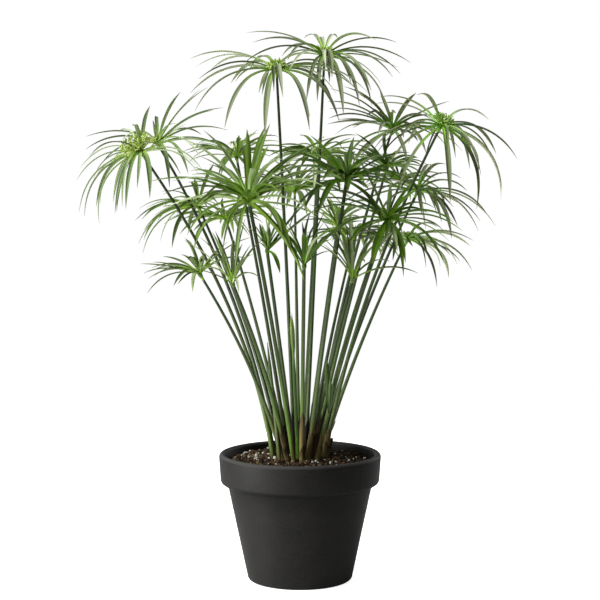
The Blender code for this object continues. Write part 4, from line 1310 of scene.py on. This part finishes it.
whorls = lay_out_whorls(hubs, culms, shoots)
chance = random.Random(23)
for i, (head, culm, routes) in enumerate(zip(HEADS, culms, whorls), 1):
    skin_name, breadth, extra = FULLNESS[i]
    hub = culm[2]
    axis = (hub - culm[1]).normalized()
    parts = [skin(hub_rings(hub, axis), 0.6)]
    to_come = list(STANDING_OUT.get(i, ()))
    for route in routes:
        width, tone = head.width * breadth * (0.8 + 0.35 * chance.random() ** 2), chance.random()
        known = blade_at(head, route[2], to_come)
        if known:
            to_come.remove(known)
            width, tone = known.breadth, known.tone
            route = stiffened(route, known.arch)
        parts.append(blade(
            route, width * MM, chance.uniform(-0.35, 0.35), chance.uniform(-2.5, 2.5) * MM, tone))
    for known, tip in zip(to_come, listed_tips(head._replace(bracts=[one[:3] for one in to_come]))):
        parts.append(blade(
            stiffened(bract_route(hub, within_solids(tip)), known.arch), known.breadth * MM,
            chance.uniform(-0.3, 0.3),
            chance.uniform(-2, 2) * MM, known.tone))
    angles = sorted(heading(hub, route[2]) for route in routes)
    for k in range(extra):
        place = (k + 0.5) / extra * len(angles)
        j = int(place)
        gap = (angles[j] - angles[j - 1]) % math.tau
        tip = added_tip(head, culm, angles[j] - gap * (0.2 + 0.6 * (place - j)), k + 31 * i)
        tip = hub + (tip - hub) * chance.uniform(0.6, 1.02) + axis * chance.uniform(-8, 18) * MM
        start, middle, end = bract_route(hub, within_solids(tip))
        middle = middle + Vector((
            chance.uniform(-1, 1), chance.uniform(-1, 1), chance.uniform(-1.5, 1))) * 5 * MM
        parts.append(blade(
            (start, middle, end), head.width * breadth * MM * chance.uniform(0.5, 0.9),
            chance.uniform(-0.7, 0.7), chance.uniform(-3, 3) * MM, chance.random() ** 1.4))
    points, faces, places, tones = joined(parts)
    add_piece(
        f"whorl_{i:02}_bracts", held_in(points), faces, SKINS[skin_name], "bract", (f"whorl_{i:02}",),
        {"blade": places, "tone": tones}, sharp=55)


# Flower heads
#
# Out of the middle of a whorl grows a loose tuft of fine stalks, each with a star of flat,
# pale spikelets that are still green-yellow, and between them short pale leaflets.

# For each head in flower: how many stalks it has, their length and the leaflets' length.
FLOWERS = {
    1: (22, 7, 12), 2: (22, 7, 11), 3: (64, 17, 15), 6: (30, 10, 11), 13: (14, 7, 16),
    14: (18, 8, 9), 15: (18, 8, 10), 5: (8, 5, 10), 4: (10, 6, 9), 7: (8, 5, 9), 8: (10, 5, 10),
    9: (8, 5, 8), 10: (12, 6, 8), 20: (12, 6, 9), 21: (12, 6, 9), 23: (10, 6, 9), 24: (10, 6, 9),
    25: (10, 6, 9),
}

spikelet_skin, tree, shader, in_mm = new_material("young_spikelets", 1.4, 0.6, 0.2)
# Young spikelets are soft yellow-green with chalky pale tips.
spot = add_node(
    tree, "SeparateXYZ", {0: add_node(tree, "UVMap", uv_map="blade").outputs[0]})
pale = add_node(
    tree, "ValToRGB", {"Fac": spot.outputs["Y"]},
    stops=((0.0, colour("#8cb63e")), (0.45, colour("#b6cc60")), (1.0, colour("#dee6aa"))))
# The heads on the right are younger, and their spikelets are still green.
younger = add_node(
    tree, "MapRange",
    {"Value": add_node(tree, "SeparateXYZ", {0: in_mm}).outputs["X"], "From Min": -60,
     "From Max": 100, "To Max": 0.6})
spikelet = add_node(
    tree, "Mix",
    {"Factor": younger.outputs[0], "A": pale.outputs[0], "B": colour("#78ac3c")}, data_type="RGBA")
tree.links.new(spikelet.outputs["Result"], shader.inputs["Base Color"])


def spikelet(start, end, width, tone):
    """A flat scaly spindle."""
    along = (end - start).normalized()
    side = along.orthogonal().normalized()
    over = along.cross(side)
    rows = []
    for t, share in ((0, 0.3), (0.2, 0.85), (0.5, 1.0), (0.8, 0.7), (1, 0.08)):
        centre = start.lerp(end, t)
        rows.append([
            centre + (side * math.cos(math.tau * k / 6) + over * 0.55 * math.sin(math.tau * k / 6))
            * (width / 2 * share) for k in range(6)])
    return skin(rows, tone)


def tuft(hub, axis, stalks, length, leaflet, chance):
    turn = Vector((0, 0, 1)).rotation_difference(axis)
    parts = []
    for k in range(stalks):
        angle = k * 2.399963
        spread = math.radians(12 + 72 * math.sqrt((k + 0.5) / stalks))
        ray = turn @ Vector((
            math.sin(spread) * math.cos(angle), math.sin(spread) * math.sin(angle), math.cos(spread)))
        end = hub + axis * 2 * MM + ray * (length * chance.uniform(0.6, 1) * MM)
        middle = (hub + end) / 2 + axis * MM
        rows = stem_rings((hub, middle, end), (0.35 * MM, 0.28 * MM), 5, 5, 0.1 * MM)
        parts.append(skin(rows, 0.3))
        for _ in range(5):
            way = (ray + Vector((
                chance.uniform(-1, 1), chance.uniform(-1, 1), chance.uniform(-1, 1)))).normalized()
            parts.append(spikelet(
                end - way * 0.3 * MM, end + way * chance.uniform(3.0, 5.4) * MM, 1.6 * MM, chance.random()))
    return parts


leaflet_skin = bract_skin("young_leaflets", "#94b845", "#8db048", "#a3c060", "#9dbd5c", "#cddba0")
for number, (stalks, length, leaflet) in FLOWERS.items():
    _, shoulder, hub = culms[number - 1]
    axis = (hub - shoulder).normalized()
    points, faces, places, tones = joined(tuft(hub, axis, stalks, length, leaflet, chance))
    add_piece(
        f"flowers_{number:02}", points, faces, spikelet_skin, "bract",
        maps={"blade": places, "tone": tones})
    turn = Vector((0, 0, 1)).rotation_difference(axis)
    parts = []
    for k in range(11):
        angle = k * 2.399963 + 1
        spread = math.radians(18 + 5 * k)
        ray = turn @ Vector((
            math.sin(spread) * math.cos(angle), math.sin(spread) * math.sin(angle), math.cos(spread)))
        tip = hub + ray * leaflet * chance.uniform(0.7, 1.1) * MM
        parts.append(blade(
            (hub, (hub + tip) / 2 + axis * 1.5 * MM, tip), chance.uniform(1.6, 2.6) * MM, 0, 0, chance.random()))
    points, faces, places, tones = joined(parts)
    add_piece(
        f"leaflets_{number:02}", points, faces, leaflet_skin, "bract",
        maps={"blade": places, "tone": tones}, sharp=55)


# Young growth
#
# New culms at the front of the clump: one with its bracts still rolled in a pointed bud, one
# bare spear, and the broken foot of an old culm.

fresh_rind, tree, shader, in_mm = new_material("fresh_rind", 1.45, 0.4, 0.25)
# New growth is a lighter, yellower green than the culms, with fine lengthwise veins.
place = add_node(tree, "UVMap", uv_map="blade").outputs[0]
veins = add_node(
    tree, "TexNoise",
    {"Vector": add_node(
        tree, "VectorMath", {0: place, 1: (12, 1.2, 1)}, operation="MULTIPLY").outputs[0],
     "Scale": 1.0, "Detail": 3})
fresh = add_node(
    tree, "ValToRGB",
    {"Fac": add_node(
        tree, "MapRange",
        {"Value": add_node(tree, "SeparateXYZ", {0: in_mm}).outputs["Z"],
         "From Min": 112, "From Max": 256}).outputs[0]},
    stops=(
        (0.0, colour("#6d7a34")), (0.12, colour("#5f8a2c")), (0.3, colour("#3f5c22")),
        (0.66, colour("#3c5424")), (0.8, colour("#5f7f2a")), (1.0, colour("#8ea24c"))))
depth = add_node(
    tree, "MapRange",
    {"Value": veins.outputs["Fac"], "From Min": 0.3, "From Max": 0.7, "To Min": 0.6, "To Max": 1.3})
tone = add_node(tree, "SeparateXYZ", {0: add_node(tree, "UVMap", uv_map="tone").outputs[0]})
own = add_node(
    tree, "Math",
    {0: add_node(
        tree, "MapRange", {"Value": tone.outputs["X"], "To Min": 0.45, "To Max": 1.4}).outputs[0],
     1: depth.outputs[0]}, operation="MULTIPLY")
veined = add_node(
    tree, "VectorMath", {0: fresh.outputs[0], "Scale": own.outputs[0]}, operation="SCALE")
tree.links.new(veined.outputs[0], shader.inputs["Base Color"])
bump = add_node(
    tree, "Bump", {"Height": veins.outputs["Fac"], "Strength": 0.4, "Distance": 0.2 * MM})
tree.links.new(bump.outputs[0], shader.inputs["Normal"])

def bud(route, tips):
    """Bracts rolled round each other at the top of a young culm."""
    start = parabola(*route, 0.70)
    along = (route[2] - start).normalized()
    parts = []
    for turn, reach, aside, breadth, tone in tips:
        side = Matrix.Rotation(math.radians(turn), 3, along) @ along.orthogonal().normalized()
        foot = start - along * 2 * MM + side * 0.3 * MM
        tip = start + (route[2] - start) * reach + side * aside * MM
        parts.append(blade(
            (foot, (foot + tip) / 2 + side * 0.6 * MM, tip), breadth * MM, 0.4, 0, tone))
    return parts


# Each bract of the bud: its turn round the culm, how much of the bud's height it has, how far
# it stands off at the tip, its breadth and its tone.
ROLLED = (
    (0, 1.0, 0.0, 2.8, 0.35), (75, 0.9, 0.6, 2.6, 0.1), (150, 0.93, 0.9, 2.8, 0.5),
    (215, 0.8, 0.8, 2.6, 0.1), (290, 0.85, 1.1, 2.8, 0.4), (330, 0.66, 0.5, 2.4, 0.2),
)

# A fresh sheath blade that stands open at the front of the clump, still bright green. Its skin
# is painted far darker than that, as painted shade for the shade it stands in.
foot, tip, side = (
    as_seen(across * MM, up * MM, back * MM)
    for across, up, back in ((27.5, 160, -30), (25.5, 212, -40), (29, 196, -38)))
points, faces, places, tones = joined([
    blade((foot, (foot + tip) / 2 + Vector((-0.6, 0, 0)) * MM, tip), 6.4 * MM, 0.2, 0, 0.2),
    blade((foot, (foot + side) / 2 + Vector((0.5, -1, 0)) * MM, side), 3.6 * MM, -0.3, 0, 0.6)])
add_piece(
    "fresh_sheath_blade", points, faces, bract_skin(
        "fresh_sheath_in_painted_shade", "#30440c", "#263a08", "#223008", "#36500e", "#506828"), "young_growth",
    maps={"blade": places, "tone": tones}, sharp=55)

for shoot, route in zip(SHOOTS, shoots):
    radii = [radius * MM for radius in shoot.radii]
    if shoot.name == "young_shoot":
        radii = [radius * MM for radius in (2.2, 1.9, 1.7, 1.6, 0.9, 0.2)]
    points, faces, places, tones = skin(stem_rings(route, radii), 0.5)
    if shoot.name == "young_shoot":
        points, faces, places, tones = joined(
            [(points, faces, places, tones)] + bud(route, ROLLED))
    finish = {"young_shoot": fresh_rind, "young_spear": rind, "old_stub": old_sheath}[shoot.name]
    slot = "dry_sheath" if shoot.name == "old_stub" else "young_growth"
    add_piece(
        shoot.name + "_skin", points, faces, finish, slot, (shoot.name,),
        {"blade": places, "tone": tones})
